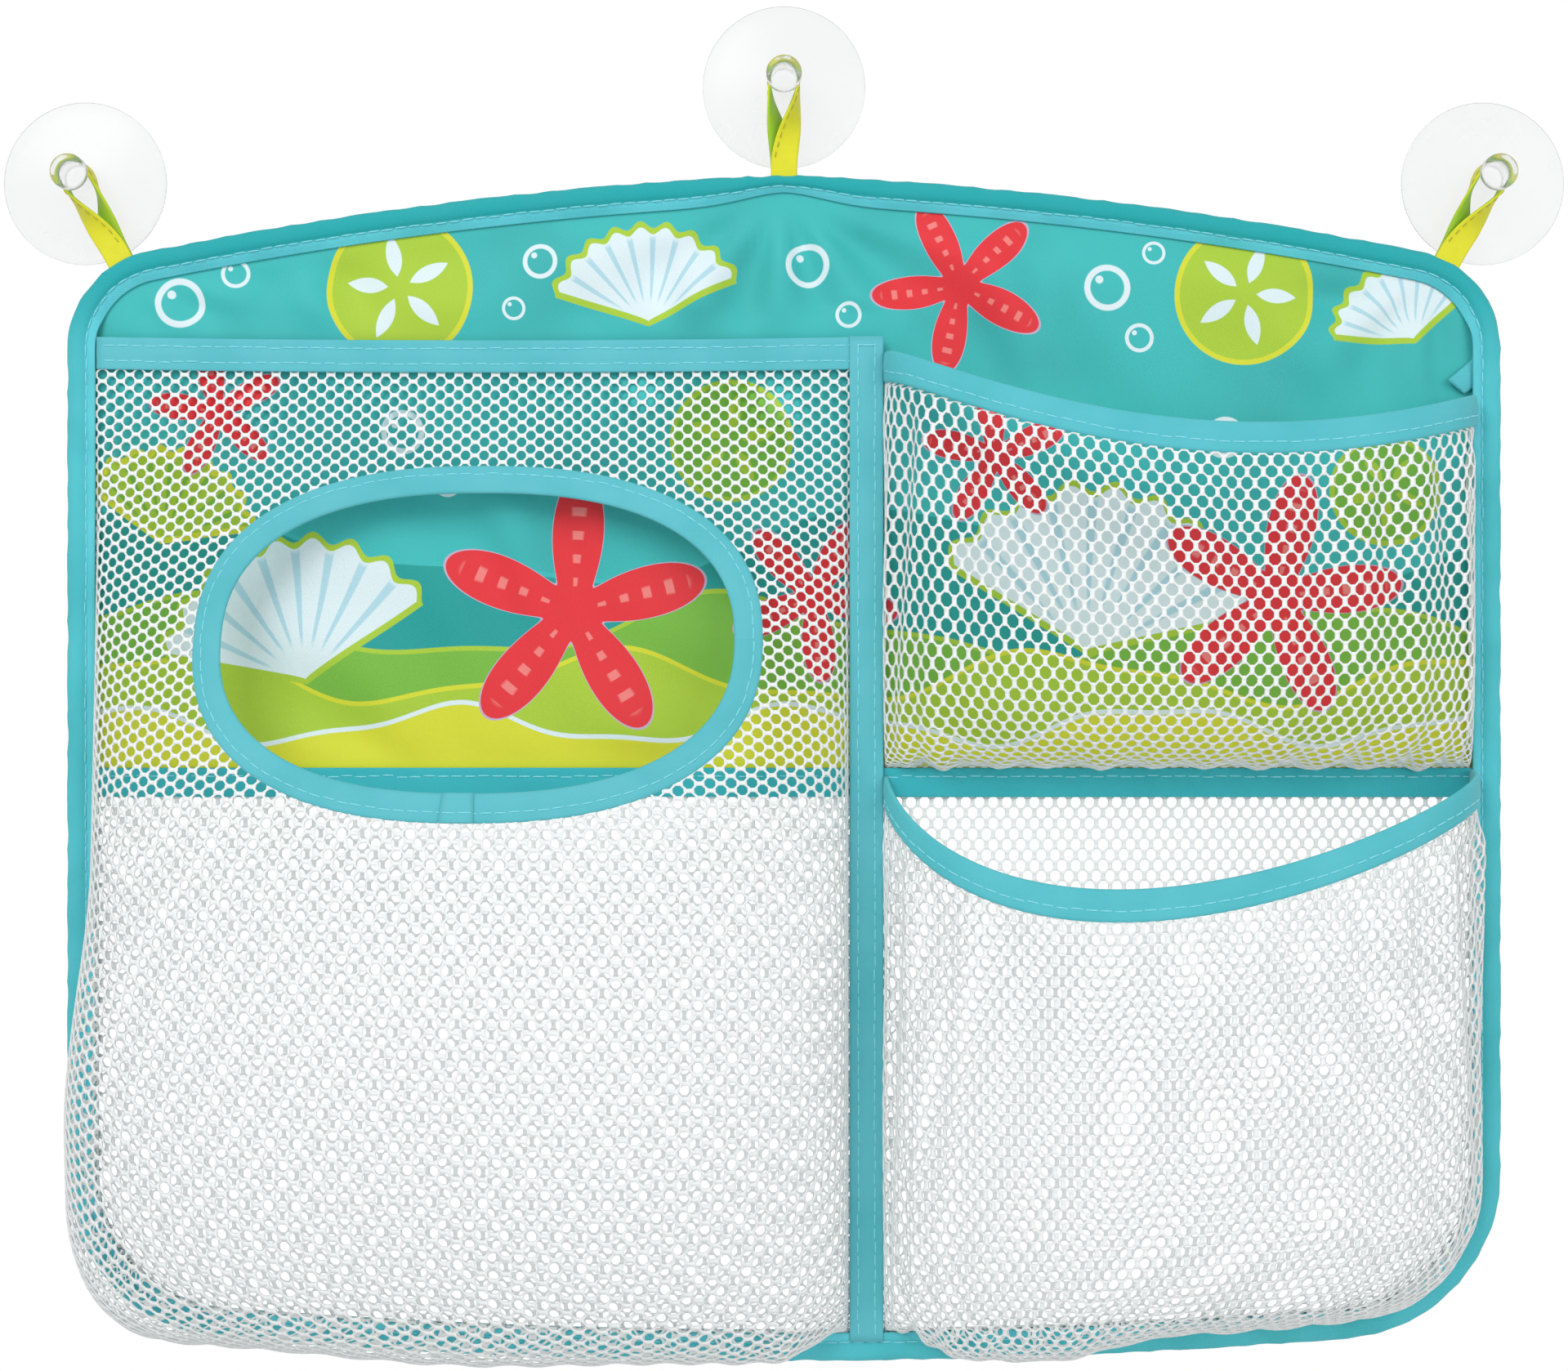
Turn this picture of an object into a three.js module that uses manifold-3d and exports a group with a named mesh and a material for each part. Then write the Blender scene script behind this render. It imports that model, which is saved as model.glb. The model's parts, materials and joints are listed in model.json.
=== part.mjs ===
// Bath toy organizer: a wall-hung tidy of printed cloth and net with one large pocket and two small
// ones, carried by three tape loops on suction cups. Millimetres, +Z up, +X to the right, the wall at
// y = 0 and the front towards -Y. The origin is the middle of the top cup, where it meets the wall.
import * as THREE from "three";
import { mergeVertices } from "three/addons/utils/BufferGeometryUtils.js";
import Module from "manifold-3d";

const { degToRad, lerp } = THREE.MathUtils;
const wasm = await Module();
wasm.setup();

// Sheet goods and sewing
const CLOTH_THICKNESS = 0.4;
const NET_THICKNESS = 0.6;
const TAPE_THICKNESS = 0.6;
const SEAM_GAP = 0.3;
const HEM_WIDTH = 4.5;
const NET_PITCH = 38;
const NET_STRAND = 8.4;

// Outline of the bag
const BAG_HALF_WIDTH = 244;
const BAG_HEIGHT = 404;
const TOP_ARC_RADIUS = 1370;
const TOP_PEAK_SLOPE = degToRad(2.3);
const TOP_CORNER_RADIUS = 34;
const BOTTOM_ARC_RADIUS = 2440;
const BOTTOM_CORNER_RADIUS = 57;

// Tapes
const BINDING_WIDTH = 10;
const BINDING_FOLD_BEVEL = 0.8;
const DIVIDER_X = 28;
const DIVIDER_WIDTH = 11.5;
const TOP_BAND_DROP = 61;
const TOP_BAND_WIDTH = 11;
const CENTRE_BAND_DROP = 207;
const CENTRE_BAND_WIDTH = 10;
const LIP_WIDTH = 10.6;
const LIP_THICKNESS = 1.2;
const LIP_TILT = degToRad(10);
const LIP_SEAM_GAP = 0.6;

// Suction cups
const CUP_DIAMETER = 56;
const CUP_RIM_WIDTH = 4;
const CUP_RIM_THICKNESS = 0.8;
const CUP_HOLLOW_DEPTH = 2.2;
const CUP_RISE = 5;
const NECK_DIAMETER = 8;
const NECK_FILLET = 1.6;
const NECK_PLAY = 0.75;
const HEAD_DIAMETER = 12;
const HEAD_LENGTH = 5;
const HEAD_ROUNDING = 2;

// Hanging loops
const LOOP_WIDTH = 9;
const LOOP_THICKNESS = 1.2;
const LOOP_REACH = 30.6;
const LOOP_FOLD_RADIUS = 0.9;
const LOOP_NECK_PLAY = 0.3;
const SIDE_LOOP_LEAN = degToRad(28);

// Large left pocket, entered through a bound oval
const LEFT_BELLY_DEPTH = 60;
const LEFT_BELLY_DROP = 245;
const OVAL_X = -101;
const OVAL_DROP = 98;
const OVAL_HALF_WIDTH = 94;
const OVAL_HALF_HEIGHT = 59;
const OVAL_SQUARENESS = 2.4;
const OVAL_TAPE_WIDTH = 9.5;
const OVAL_TAPE_THICKNESS = 1.2;

// Open-topped right pockets: drops are from the peak of the bag to the top edge of the lip's two ends
const UPPER_LIP = { leftDrop: 61, rightDrop: 76, forward: 34, sag: 19.5, lowest: 0.5 };
const UPPER_BELLY = { depth: 42, drop: 62 };
const LOWER_LIP = { leftDrop: 204.5, rightDrop: 202.5, forward: 46, sag: 35, lowest: 0.36 };
const LOWER_BELLY = { depth: 55, drop: 98 };

// Roundness of the pockets, seen from above and from the side, and how the belly swells downwards
const SECTION_ROUNDNESS = 2.3;
const BASE_ROUNDNESS = 2.4;
const BELLY_EASE = 1.4;

// Facets
const ARC_STEPS = 7;
const OVAL_STEPS = 48;
const LIP_STEPS = 26;
const LOOP_LEG_STEPS = 10;
const LOOP_WRAP_STEPS = 12;
const LOOP_FOLD_STEPS = 6;
const CUP_SEGMENTS = 28;
const NORMAL_STEP = 0.004;

// Depths along the wall's normal, worked out from the neck that carries the loops
const NECK_LENGTH = LOOP_WIDTH + 2 * NECK_PLAY;
const BAG_PLANE = -(CUP_RISE + NECK_LENGTH / 2);
const LAYER_PITCH = Math.max(CLOTH_THICKNESS, NET_THICKNESS, TAPE_THICKNESS) + SEAM_GAP;
const SLOT_LAYERS = 3;
const BINDING_DEPTH = 2 * TAPE_THICKNESS + SLOT_LAYERS * LAYER_PITCH + SEAM_GAP;
const BAG_REAR = BAG_PLANE + BINDING_DEPTH / 2;
const FRONT_TAPE_LAYER = SLOT_LAYERS + 1;
const DIVIDER_LAYER = SLOT_LAYERS + 2;

/** Middle of a sewn layer: 1 is the panel, 2 and 3 lie in the binding, 4 is its front, 5 the divider. */
function layerY(layer) {
  return BAG_REAR - TAPE_THICKNESS - LAYER_PITCH * (layer - 0.5) - SEAM_GAP / 2;
}

// Heights, worked out from the loop that carries the peak of the bag
const SEAT_RISE = SEAM_GAP + LOOP_FOLD_RADIUS + LOOP_THICKNESS / 2;
const PEAK_Z = -(LOOP_REACH + SEAT_RISE);
const BOTTOM_Z = PEAK_Z - BAG_HEIGHT;
const TOP_BAND_Z = PEAK_Z - TOP_BAND_DROP;
const CENTRE_BAND_Z = PEAK_Z - CENTRE_BAND_DROP;
const LEFT_POCKET_TOP = TOP_BAND_Z - TOP_BAND_WIDTH / 2 - SEAM_GAP - NET_THICKNESS / 2;

// Centres of the arcs that make the right half of the outline
const TOP_CENTRE = new THREE.Vector2(
  -TOP_ARC_RADIUS * Math.sin(TOP_PEAK_SLOPE),
  PEAK_Z - TOP_ARC_RADIUS * Math.cos(TOP_PEAK_SLOPE),
);
const TOP_CORNER = cornerCentre(TOP_CENTRE, TOP_ARC_RADIUS, TOP_CORNER_RADIUS, 1);
const BOTTOM_CENTRE = new THREE.Vector2(0, BOTTOM_Z + BOTTOM_ARC_RADIUS);
const BOTTOM_CORNER = cornerCentre(BOTTOM_CENTRE, BOTTOM_ARC_RADIUS, BOTTOM_CORNER_RADIUS, -1);
const BOTTOM_CORNER_END = BOTTOM_CORNER.clone().sub(BOTTOM_CENTRE).angle() - 2 * Math.PI;
const CORNER_SPLIT = -Math.PI / 4;

/** Centre of a corner arc that touches a large arc and the straight side. */
function cornerCentre(centre, radius, corner, upOrDown) {
  const x = BAG_HALF_WIDTH - corner;
  const reach = Math.sqrt((radius - corner) ** 2 - (x - centre.x) ** 2);
  return new THREE.Vector2(x, centre.y + upOrDown * reach);
}

/** An arc about a centre, run clockwise unless told otherwise. */
function arc(centre, radius, from, to, clockwise = true) {
  return new THREE.EllipseCurve(centre.x, centre.y, radius, radius, from, to, clockwise);
}

/** Closed outline of the bag in x and z, set in from its edge. */
function outline(inset) {
  const topRadius = TOP_ARC_RADIUS - inset;
  const start = Math.acos(-TOP_CENTRE.x / topRadius);
  const turn = TOP_CORNER.clone().sub(TOP_CENTRE).angle();
  const half = [
    ...arc(TOP_CENTRE, topRadius, start, turn).getPoints(ARC_STEPS),
    ...arc(TOP_CORNER, TOP_CORNER_RADIUS - inset, turn, 0).getPoints(ARC_STEPS).slice(1),
    ...arc(BOTTOM_CORNER, BOTTOM_CORNER_RADIUS - inset, 0, BOTTOM_CORNER_END).getPoints(ARC_STEPS),
    ...arc(BOTTOM_CENTRE, BOTTOM_ARC_RADIUS - inset, BOTTOM_CORNER_END, -Math.PI / 2)
      .getPoints(ARC_STEPS)
      .slice(1),
  ];
  const mirrored = half.slice(1, -1).reverse().map((p) => new THREE.Vector2(-p.x, p.y));
  return [...half, ...mirrored];
}

/** Distance from the middle to the side of the bag at a height, inside the top corner's curve too. */
function sideX(inset, z) {
  const over = Math.max(0, z - TOP_CORNER.y);
  return TOP_CORNER.x + Math.sqrt((TOP_CORNER_RADIUS - inset) ** 2 - over ** 2);
}

/** Side of the bag from a height down to the middle of the bottom corner, on the right or the left. */
function sideEdge(inset, top, side) {
  const path = new THREE.CurvePath();
  const x = BAG_HALF_WIDTH - inset;
  path.add(new THREE.LineCurve(new THREE.Vector2(x, top), new THREE.Vector2(x, BOTTOM_CORNER.y)));
  path.add(arc(BOTTOM_CORNER, BOTTOM_CORNER_RADIUS - inset, 0, CORNER_SPLIT));
  return mirroredCurve(path, side);
}

/** Foot of the bag from a distance off its middle out to the middle of the bottom corner. */
function baseEdge(inset, from, side) {
  const path = new THREE.CurvePath();
  const radius = BOTTOM_ARC_RADIUS - inset;
  const cornerRadius = BOTTOM_CORNER_RADIUS - inset;
  const start = -Math.acos(from / radius);
  path.add(arc(BOTTOM_CENTRE, radius, start, BOTTOM_CORNER_END, false));
  path.add(arc(BOTTOM_CORNER, cornerRadius, BOTTOM_CORNER_END, CORNER_SPLIT, false));
  return mirroredCurve(path, side);
}

/** Evenly spaced points of a curve, mirrored in x for the left side. */
function mirroredCurve(path, side) {
  return (share) => {
    const p = path.getPointAt(THREE.MathUtils.clamp(share, 0, 1));
    return new THREE.Vector2(side * p.x, p.y);
  };
}

/** A straight edge between two points in x and z. */
function straightEdge(from, to) {
  return (share) => new THREE.Vector2(lerp(from.x, to.x, share), lerp(from.y, to.y, share));
}

/** A closed mesh of points and triangles, turned so that its faces point out. */
function closedGeometry(points, triangles) {
  let volume = 0;
  for (const [a, b, c] of triangles) {
    volume += points[a].dot(points[b].clone().cross(points[c]));
  }
  const outward = volume < 0 ? triangles.map(([a, b, c]) => [a, c, b]) : triangles;
  const geometry = new THREE.BufferGeometry();
  const coordinates = points.flatMap((p) => p.toArray());
  geometry.setAttribute("position", new THREE.Float32BufferAttribute(coordinates, 3));
  geometry.setIndex(outward.flat());
  geometry.computeVertexNormals();
  return geometry;
}

/** Gives a sheet its thickness: two faces, and a wall along every free edge. */
function thicken(sheet, thickness) {
  const count = sheet.points.length;
  const shifted = (side) =>
    sheet.points.map((p, i) => p.clone().addScaledVector(sheet.normals[i], (side * thickness) / 2));
  const triangles = sheet.triangles.flatMap(([a, b, c]) => [[a, b, c], [a + count, c + count, b + count]]);
  const freeEdges = new Map();
  for (const [a, b, c] of sheet.triangles) {
    for (const [from, to] of [[a, b], [b, c], [c, a]]) {
      if (!freeEdges.delete(`${to}:${from}`)) freeEdges.set(`${from}:${to}`, [from, to]);
    }
  }
  for (const [from, to] of freeEdges.values()) {
    triangles.push([to, from, from + count], [to, from + count, to + count]);
  }
  return closedGeometry([...shifted(1), ...shifted(-1)], triangles);
}

/** Two triangles across four corners given in order. */
function quad(a, b, c, d) {
  return [[a, b, c], [a, c, d]];
}

/** A strip of cloth between two edges of equally many points, closed into a ring or not. */
function strip(edgeA, edgeB, normals, closed) {
  const count = edgeA.length;
  const triangles = [];
  for (let i = 0; i < (closed ? count : count - 1); i += 1) {
    const next = (i + 1) % count;
    triangles.push(...quad(i, next, next + count, i + count));
  }
  return { points: [...edgeA, ...edgeB], normals: [...normals, ...normals], triangles };
}

/** A closed band: equal cross-sections joined one after another and back to the first. */
function closedSweep(sections) {
  const size = sections[0].length;
  const triangles = [];
  sections.forEach((_, i) => {
    const here = i * size;
    const there = ((i + 1) % sections.length) * size;
    for (let k = 0; k < size; k += 1) {
      const next = (k + 1) % size;
      triangles.push(...quad(here + k, there + k, there + next, here + next));
    }
  });
  return closedGeometry(sections.flat(), triangles);
}

/** A flat plate of an outline in x and z, centred on a depth. */
function plate(outlinePoints, y, thickness) {
  const shape = new THREE.Shape(outlinePoints);
  const geometry = new THREE.ExtrudeGeometry(shape, { depth: thickness, bevelEnabled: false });
  geometry.rotateX(Math.PI / 2);
  geometry.translate(0, y + thickness / 2, 0);
  return geometry;
}

/** A straight tape, flat to the wall, between two corners in x and z. */
function flatTape(left, bottom, right, top, y) {
  const corners = [[left, bottom], [right, bottom], [right, top], [left, top]];
  return plate(corners.map(([x, z]) => new THREE.Vector2(x, z)), y, TAPE_THICKNESS);
}

/** Forward share of a pocket's section at a signed distance from its middle, 1 at the edges. */
function sectionShare(t) {
  return (1 - Math.min(1, Math.abs(t)) ** SECTION_ROUNDNESS) ** (1 / SECTION_ROUNDNESS);
}

/** Depth of a pocket's belly against the drop from its top: it swells, then rounds in to its foot. */
class BellyProfile extends THREE.Curve {
  constructor(height, topDepth, bellyDepth, bellyDrop) {
    super();
    Object.assign(this, { height, topDepth, bellyDepth, bellyDrop });
  }

  depthAt(drop) {
    if (drop < this.bellyDrop) {
      const swell = Math.sin((drop / this.bellyDrop) * (Math.PI / 2)) ** BELLY_EASE;
      return lerp(this.topDepth, this.bellyDepth, swell);
    }
    const low = Math.min(1, (drop - this.bellyDrop) / (this.height - this.bellyDrop));
    return this.bellyDepth * (1 - low ** BASE_ROUNDNESS) ** (1 / BASE_ROUNDNESS);
  }

  getPoint(t, target = new THREE.Vector3()) {
    const turn = Math.max(0, t - 0.5) * Math.PI;
    const low = Math.sin(turn) ** (2 / BASE_ROUNDNESS);
    const drop = t < 0.5 ? 2 * t * this.bellyDrop : lerp(this.bellyDrop, this.height, low);
    return target.set(drop, this.depthAt(drop), 0);
  }
}

/** One level line of a net wall, from its left seam round to its right seam. */
class LevelLine extends THREE.Curve {
  constructor(wall, down) {
    super();
    Object.assign(this, { wall, down });
  }

  getPoint(t, target = new THREE.Vector3()) {
    const turn = Math.cos(Math.PI * t);
    const across = (1 - Math.sign(turn) * Math.abs(turn) ** (2 / SECTION_ROUNDNESS)) / 2;
    return target.copy(this.wall.place(across, this.down));
  }
}

/** A net wall between four edge curves, standing forward of its seam by a belly profile. */
class NetWall {
  constructor(edges, seamY, profile) {
    Object.assign(this, { ...edges, seamY, profile, lines: new Map() });
    this.height = profile.height;
  }

  /** Point in x and z at shares across and down, blended from the four edges. */
  flat(across, down) {
    const top = this.top(across).multiplyScalar(1 - down).addScaledVector(this.bottom(across), down);
    const sides = this.left(down).multiplyScalar(1 - across).addScaledVector(this.right(down), across);
    const corners = this.top(0).multiplyScalar((1 - across) * (1 - down))
      .addScaledVector(this.top(1), across * (1 - down))
      .addScaledVector(this.bottom(0), (1 - across) * down)
      .addScaledVector(this.bottom(1), across * down);
    return top.add(sides).sub(corners);
  }

  /** Point of the wall at shares across and down. */
  place(across, down) {
    const p = this.flat(across, down);
    const forward = this.profile.depthAt(down * this.height) * sectionShare(2 * across - 1);
    return new THREE.Vector3(p.x, this.seamY - forward, p.y);
  }

  /** Depth of the wall at a place in x and z, found by closing in on its shares. */
  depthAt(x, z) {
    let across = 0.5;
    let down = 0.5;
    const width = this.top(1).x - this.top(0).x;
    for (let i = 0; i < 40; i += 1) {
      const p = this.flat(across, down);
      across += (x - p.x) / width;
      down += (p.y - z) / this.height;
    }
    return this.place(across, down).y;
  }

  /** Point at evened-out shares: u along the level line, v along the belly profile. */
  point(u, v) {
    const key = Math.round(v * 1e6);
    if (!this.lines.has(key)) {
      const drop = this.profile.getPointAt(THREE.MathUtils.clamp(v, 0, 1)).x;
      this.lines.set(key, new LevelLine(this, drop / this.height));
    }
    return this.lines.get(key).getPointAt(THREE.MathUtils.clamp(u, 0, 1));
  }

  /** Direction out of the wall at evened-out shares. */
  normal(u, v) {
    const across = this.point(u + NORMAL_STEP, v).sub(this.point(u - NORMAL_STEP, v));
    const down = this.point(u, v + NORMAL_STEP).sub(this.point(u, v - NORMAL_STEP));
    return down.cross(across).normalize();
  }

  /** Length of the middle level line, and of the middle line down the belly. */
  size() {
    this.point(0, 0.5);
    return { width: this.lines.get(500000).getLength(), height: this.profile.getLength() };
  }
}

/** A net of six-sided gaps over a wall, with a solid hem along the edges that are sewn in. */
function netSheet(wall, hems) {
  const size = wall.size();
  const columns = Math.max(2, Math.round(size.width / NET_PITCH));
  const rows = Math.max(2, Math.round(size.height / (NET_PITCH * Math.sin(Math.PI / 3))));
  const open = 1 - NET_STRAND / NET_PITCH;
  const zigzag = 1 / 6;
  const points = [];
  const normals = [];
  const triangles = [];
  const add = (point, normal) => {
    normals.push(normal);
    return points.push(point) - 1;
  };
  const share = ([k, j]) => [k / (2 * columns), j / rows];
  const knot = (place) => add(wall.point(...share(place)), wall.normal(...share(place)));
  const places = [];
  for (let j = 0; j <= rows; j += 1) {
    const inner = j > 0 && j < rows ? zigzag : 0;
    places.push([...Array(2 * columns + 1).keys()].map((k) => [k, j + ((k + j) % 2 ? -inner : inner)]));
  }
  const lines = places.map((line) => line.map(knot));

  for (let j = 0; j < rows; j += 1) {
    const odd = j % 2;
    for (let k = 1 + odd; k < 2 * columns; k += 2) {
      const outer = [[k, j], [k + 1, j], [k + 1, j + 1], [k, j + 1], [k - 1, j + 1], [k - 1, j]];
      const inner = outer.map(([a, b]) => {
        const [x, y] = places[b][a];
        return knot([lerp(k, x, open), lerp(j + 0.5, y, open)]);
      });
      outer.forEach(([a, b], m) => {
        const next = (m + 1) % outer.length;
        const [c, d] = outer[next];
        triangles.push(...quad(lines[b][a], lines[d][c], inner[next], inner[m]));
      });
    }
    if (odd) {
      const last = 2 * columns;
      triangles.push(...quad(lines[j][0], lines[j][1], lines[j + 1][1], lines[j + 1][0]));
      triangles.push(...quad(lines[j][last - 1], lines[j][last], lines[j + 1][last], lines[j + 1][last - 1]));
    }
  }

  const facing = new THREE.Vector3(0, -1, 0);
  const hem = (edge, shares, edgeOf) => {
    const outer = shares.map((s) => {
      const p = edgeOf(s);
      return add(new THREE.Vector3(p.x, wall.seamY, p.y), facing);
    });
    for (let i = 0; i + 1 < edge.length; i += 1) {
      triangles.push(...quad(edge[i + 1], edge[i], outer[i], outer[i + 1]));
    }
  };
  const downShare = (v) => wall.profile.getPointAt(v).x / wall.height;
  const alongSide = (column) => places.map((line) => downShare(line[column][1] / rows));
  const alongFoot = [...Array(2 * columns + 1).keys()].map((k) => k / (2 * columns)).reverse();
  const last = 2 * columns;
  hem(lines.map((line) => line[last]), alongSide(last), hems.right);
  hem([...lines[rows]].reverse(), alongFoot, hems.bottom);
  hem(lines.map((line) => line[0]).reverse(), alongSide(0).reverse(), hems.left);
  if (hems.top) hem(lines[0], [...alongFoot].reverse(), hems.top);
  return { points, normals, triangles };
}

/** A closed mesh as a solid for cutting. */
function solidOf(geometry) {
  const bare = geometry.clone();
  bare.deleteAttribute("normal");
  bare.deleteAttribute("uv");
  const merged = mergeVertices(bare, 1e-4);
  return new wasm.Manifold(new wasm.Mesh({
    numProp: 3,
    vertProperties: new Float32Array(merged.attributes.position.array),
    triVerts: new Uint32Array(merged.index.array),
  }));
}

/** The first closed mesh with the second cut away. */
function cutAway(geometry, tool) {
  const mesh = solidOf(geometry).subtract(solidOf(tool)).getMesh();
  const result = new THREE.BufferGeometry();
  result.setAttribute("position", new THREE.Float32BufferAttribute(mesh.vertProperties, 3));
  result.setIndex([...mesh.triVerts]);
  result.computeVertexNormals();
  return result;
}

/** Point of the oval mouth at a turn, grown or shrunk by a margin. */
function ovalPoint(turn, margin) {
  const soft = (value) => Math.sign(value) * Math.abs(value) ** (2 / OVAL_SQUARENESS);
  return new THREE.Vector2(
    OVAL_X + (OVAL_HALF_WIDTH + margin) * soft(Math.cos(turn)),
    TOP_BAND_Z - OVAL_DROP + (OVAL_HALF_HEIGHT + margin) * soft(Math.sin(turn)),
  );
}

/** Points of the oval mouth, grown or shrunk by a margin. */
function ovalOutline(margin) {
  return [...Array(OVAL_STEPS).keys()].map((i) => ovalPoint((i / OVAL_STEPS) * 2 * Math.PI, margin));
}

// Materials
const TEAL = { color: 0x4fbdb9, roughness: 0.85, metalness: 0 };
const TAPE_TEAL = { color: 0x55c0c6, roughness: 0.75, metalness: 0 };
const NET_WHITE = { color: 0xf2f5f6, roughness: 0.8, metalness: 0 };
const LOOP_LIME = { color: 0xd7dd33, roughness: 0.7, metalness: 0 };
const CLEAR_VINYL = {
  color: 0xe9eef0, roughness: 0.12, metalness: 0, transparent: true, opacity: 0.45,
};

/** A named piece of the organizer. */
function piece(name, geometry, finish) {
  const mesh = new THREE.Mesh(geometry, new THREE.MeshStandardMaterial(finish));
  mesh.name = name;
  return mesh;
}

/** Folded tape round the whole edge: a channel with a rear leg, a bevelled fold and a front leg. */
function perimeterBinding() {
  const front = BAG_REAR - BINDING_DEPTH;
  const inside = TAPE_THICKNESS;
  const bevel = BINDING_FOLD_BEVEL;
  const section = [
    [BINDING_WIDTH, BAG_REAR],
    [bevel, BAG_REAR],
    [0, BAG_REAR - bevel],
    [0, front + bevel],
    [bevel, front],
    [BINDING_WIDTH, front],
    [BINDING_WIDTH, front + TAPE_THICKNESS],
    [inside + bevel, front + TAPE_THICKNESS],
    [inside, front + TAPE_THICKNESS + bevel],
    [inside, BAG_REAR - TAPE_THICKNESS - bevel],
    [inside + bevel, BAG_REAR - TAPE_THICKNESS],
    [BINDING_WIDTH, BAG_REAR - TAPE_THICKNESS],
  ];
  const rings = section.map(([inset, y]) => outline(inset).map((p) => new THREE.Vector3(p.x, y, p.y)));
  return closedSweep(rings[0].map((_, i) => rings.map((ring) => ring[i])));
}

/** Inset of a sheet's cut edge inside the binding's channel. */
const SHEET_INSET = TAPE_THICKNESS + BINDING_FOLD_BEVEL + SEAM_GAP;

/** Printed cloth that backs the upper half, down to the joint behind the centre band. */
function printedBackPanel() {
  const joint = CENTRE_BAND_Z + SEAM_GAP / 2;
  const upper = outline(SHEET_INSET).filter((p) => p.y > joint);
  const right = BAG_HALF_WIDTH - SHEET_INSET;
  const firstLeft = upper.findIndex((p) => p.x < -SEAM_GAP);
  const corners = [new THREE.Vector2(right, joint), new THREE.Vector2(-right, joint)];
  return plate([...upper.slice(0, firstLeft), ...corners, ...upper.slice(firstLeft)], layerY(1), CLOTH_THICKNESS);
}

/** Flat net that backs the lower half. */
function backNet() {
  const top = CENTRE_BAND_Z - CENTRE_BAND_WIDTH / 2;
  const inset = BINDING_WIDTH;
  const hemInset = BINDING_WIDTH - HEM_WIDTH;
  const x = BAG_HALF_WIDTH - inset;
  const foot = (footInset) => (share) => (share < 0.5
    ? baseEdge(footInset, 0, -1)(1 - 2 * share)
    : baseEdge(footInset, 0, 1)(2 * share - 1));
  const wall = new NetWall(
    {
      left: sideEdge(inset, top, -1),
      right: sideEdge(inset, top, 1),
      top: straightEdge(new THREE.Vector2(-x, top), new THREE.Vector2(x, top)),
      bottom: foot(inset),
    },
    layerY(1),
    new BellyProfile(top - BOTTOM_Z - inset, 0, 0, (top - BOTTOM_Z - inset) / 2),
  );
  const joint = CENTRE_BAND_Z - SEAM_GAP / 2;
  return thicken(netSheet(wall, {
    left: sideEdge(hemInset, top, -1),
    right: sideEdge(hemInset, top, 1),
    bottom: foot(hemInset),
    top: straightEdge(new THREE.Vector2(-x, joint), new THREE.Vector2(x, joint)),
  }), NET_THICKNESS);
}

/** Tape over the joint of cloth and net: it steps forward, right of the divider, over a net's hem. */
function centreBand() {
  const end = BAG_HALF_WIDTH - SHEET_INSET;
  const stations = [
    [-end, layerY(2)],
    [DIVIDER_X, layerY(2)],
    [DIVIDER_X + DIVIDER_WIDTH / 2 - SEAM_GAP, layerY(3)],
    [end, layerY(3)],
  ];
  const edge = (z) => stations.map(([x, y]) => new THREE.Vector3(x, y, z));
  const facing = stations.map(() => new THREE.Vector3(0, -1, 0));
  const half = CENTRE_BAND_WIDTH / 2;
  return thicken(strip(edge(CENTRE_BAND_Z - half), edge(CENTRE_BAND_Z + half), facing, false), TAPE_THICKNESS);
}

/** Tape that closes the top of the left pocket, from the binding to under the divider. */
function leftPocketTopBand() {
  const half = TOP_BAND_WIDTH / 2;
  return flatTape(
    -sideX(BINDING_WIDTH + SEAM_GAP, TOP_BAND_Z + half), TOP_BAND_Z - half,
    DIVIDER_X + DIVIDER_WIDTH / 2, TOP_BAND_Z + half,
    layerY(FRONT_TAPE_LAYER),
  );
}

/** Upright tape between the left pocket and the right ones. */
function dividerTape() {
  const half = DIVIDER_WIDTH / 2;
  const foot = baseEdge(BINDING_WIDTH + SEAM_GAP, DIVIDER_X, 1)(0).y;
  const top = TOP_BAND_Z + TOP_BAND_WIDTH / 2;
  return flatTape(DIVIDER_X - half, foot, DIVIDER_X + half, top, layerY(DIVIDER_LAYER));
}

/** Distance from a tape's edge to the middle of a net that rises beside it. */
const NET_OFFSET = SEAM_GAP + NET_THICKNESS / 2;

/** Edges of a net wall along the divider: side is -1 left of it and 1 right of it. */
function dividerEdge(side, offset, top, bottom) {
  const x = DIVIDER_X + side * (DIVIDER_WIDTH / 2 + offset);
  return straightEdge(new THREE.Vector2(x, top), new THREE.Vector2(x, bottom));
}

/** Large left pocket: its top sewn shut, its sides and foot sewn in, entered through the oval. */
function leftPocketWall() {
  const inset = BINDING_WIDTH + NET_OFFSET;
  const dividerSide = DIVIDER_X - DIVIDER_WIDTH / 2 - NET_OFFSET;
  const foot = baseEdge(inset, -dividerSide, -1);
  const x = -BAG_HALF_WIDTH + inset;
  const height = LEFT_POCKET_TOP - foot(0).y;
  return new NetWall(
    {
      left: sideEdge(inset, LEFT_POCKET_TOP, -1),
      right: dividerEdge(-1, NET_OFFSET, LEFT_POCKET_TOP, foot(0).y),
      top: straightEdge(
        new THREE.Vector2(x, LEFT_POCKET_TOP), new THREE.Vector2(dividerSide, LEFT_POCKET_TOP),
      ),
      bottom: (share) => foot(1 - share),
    },
    layerY(3),
    new BellyProfile(height, 0, LEFT_BELLY_DEPTH, LEFT_BELLY_DROP),
  );
}

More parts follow.
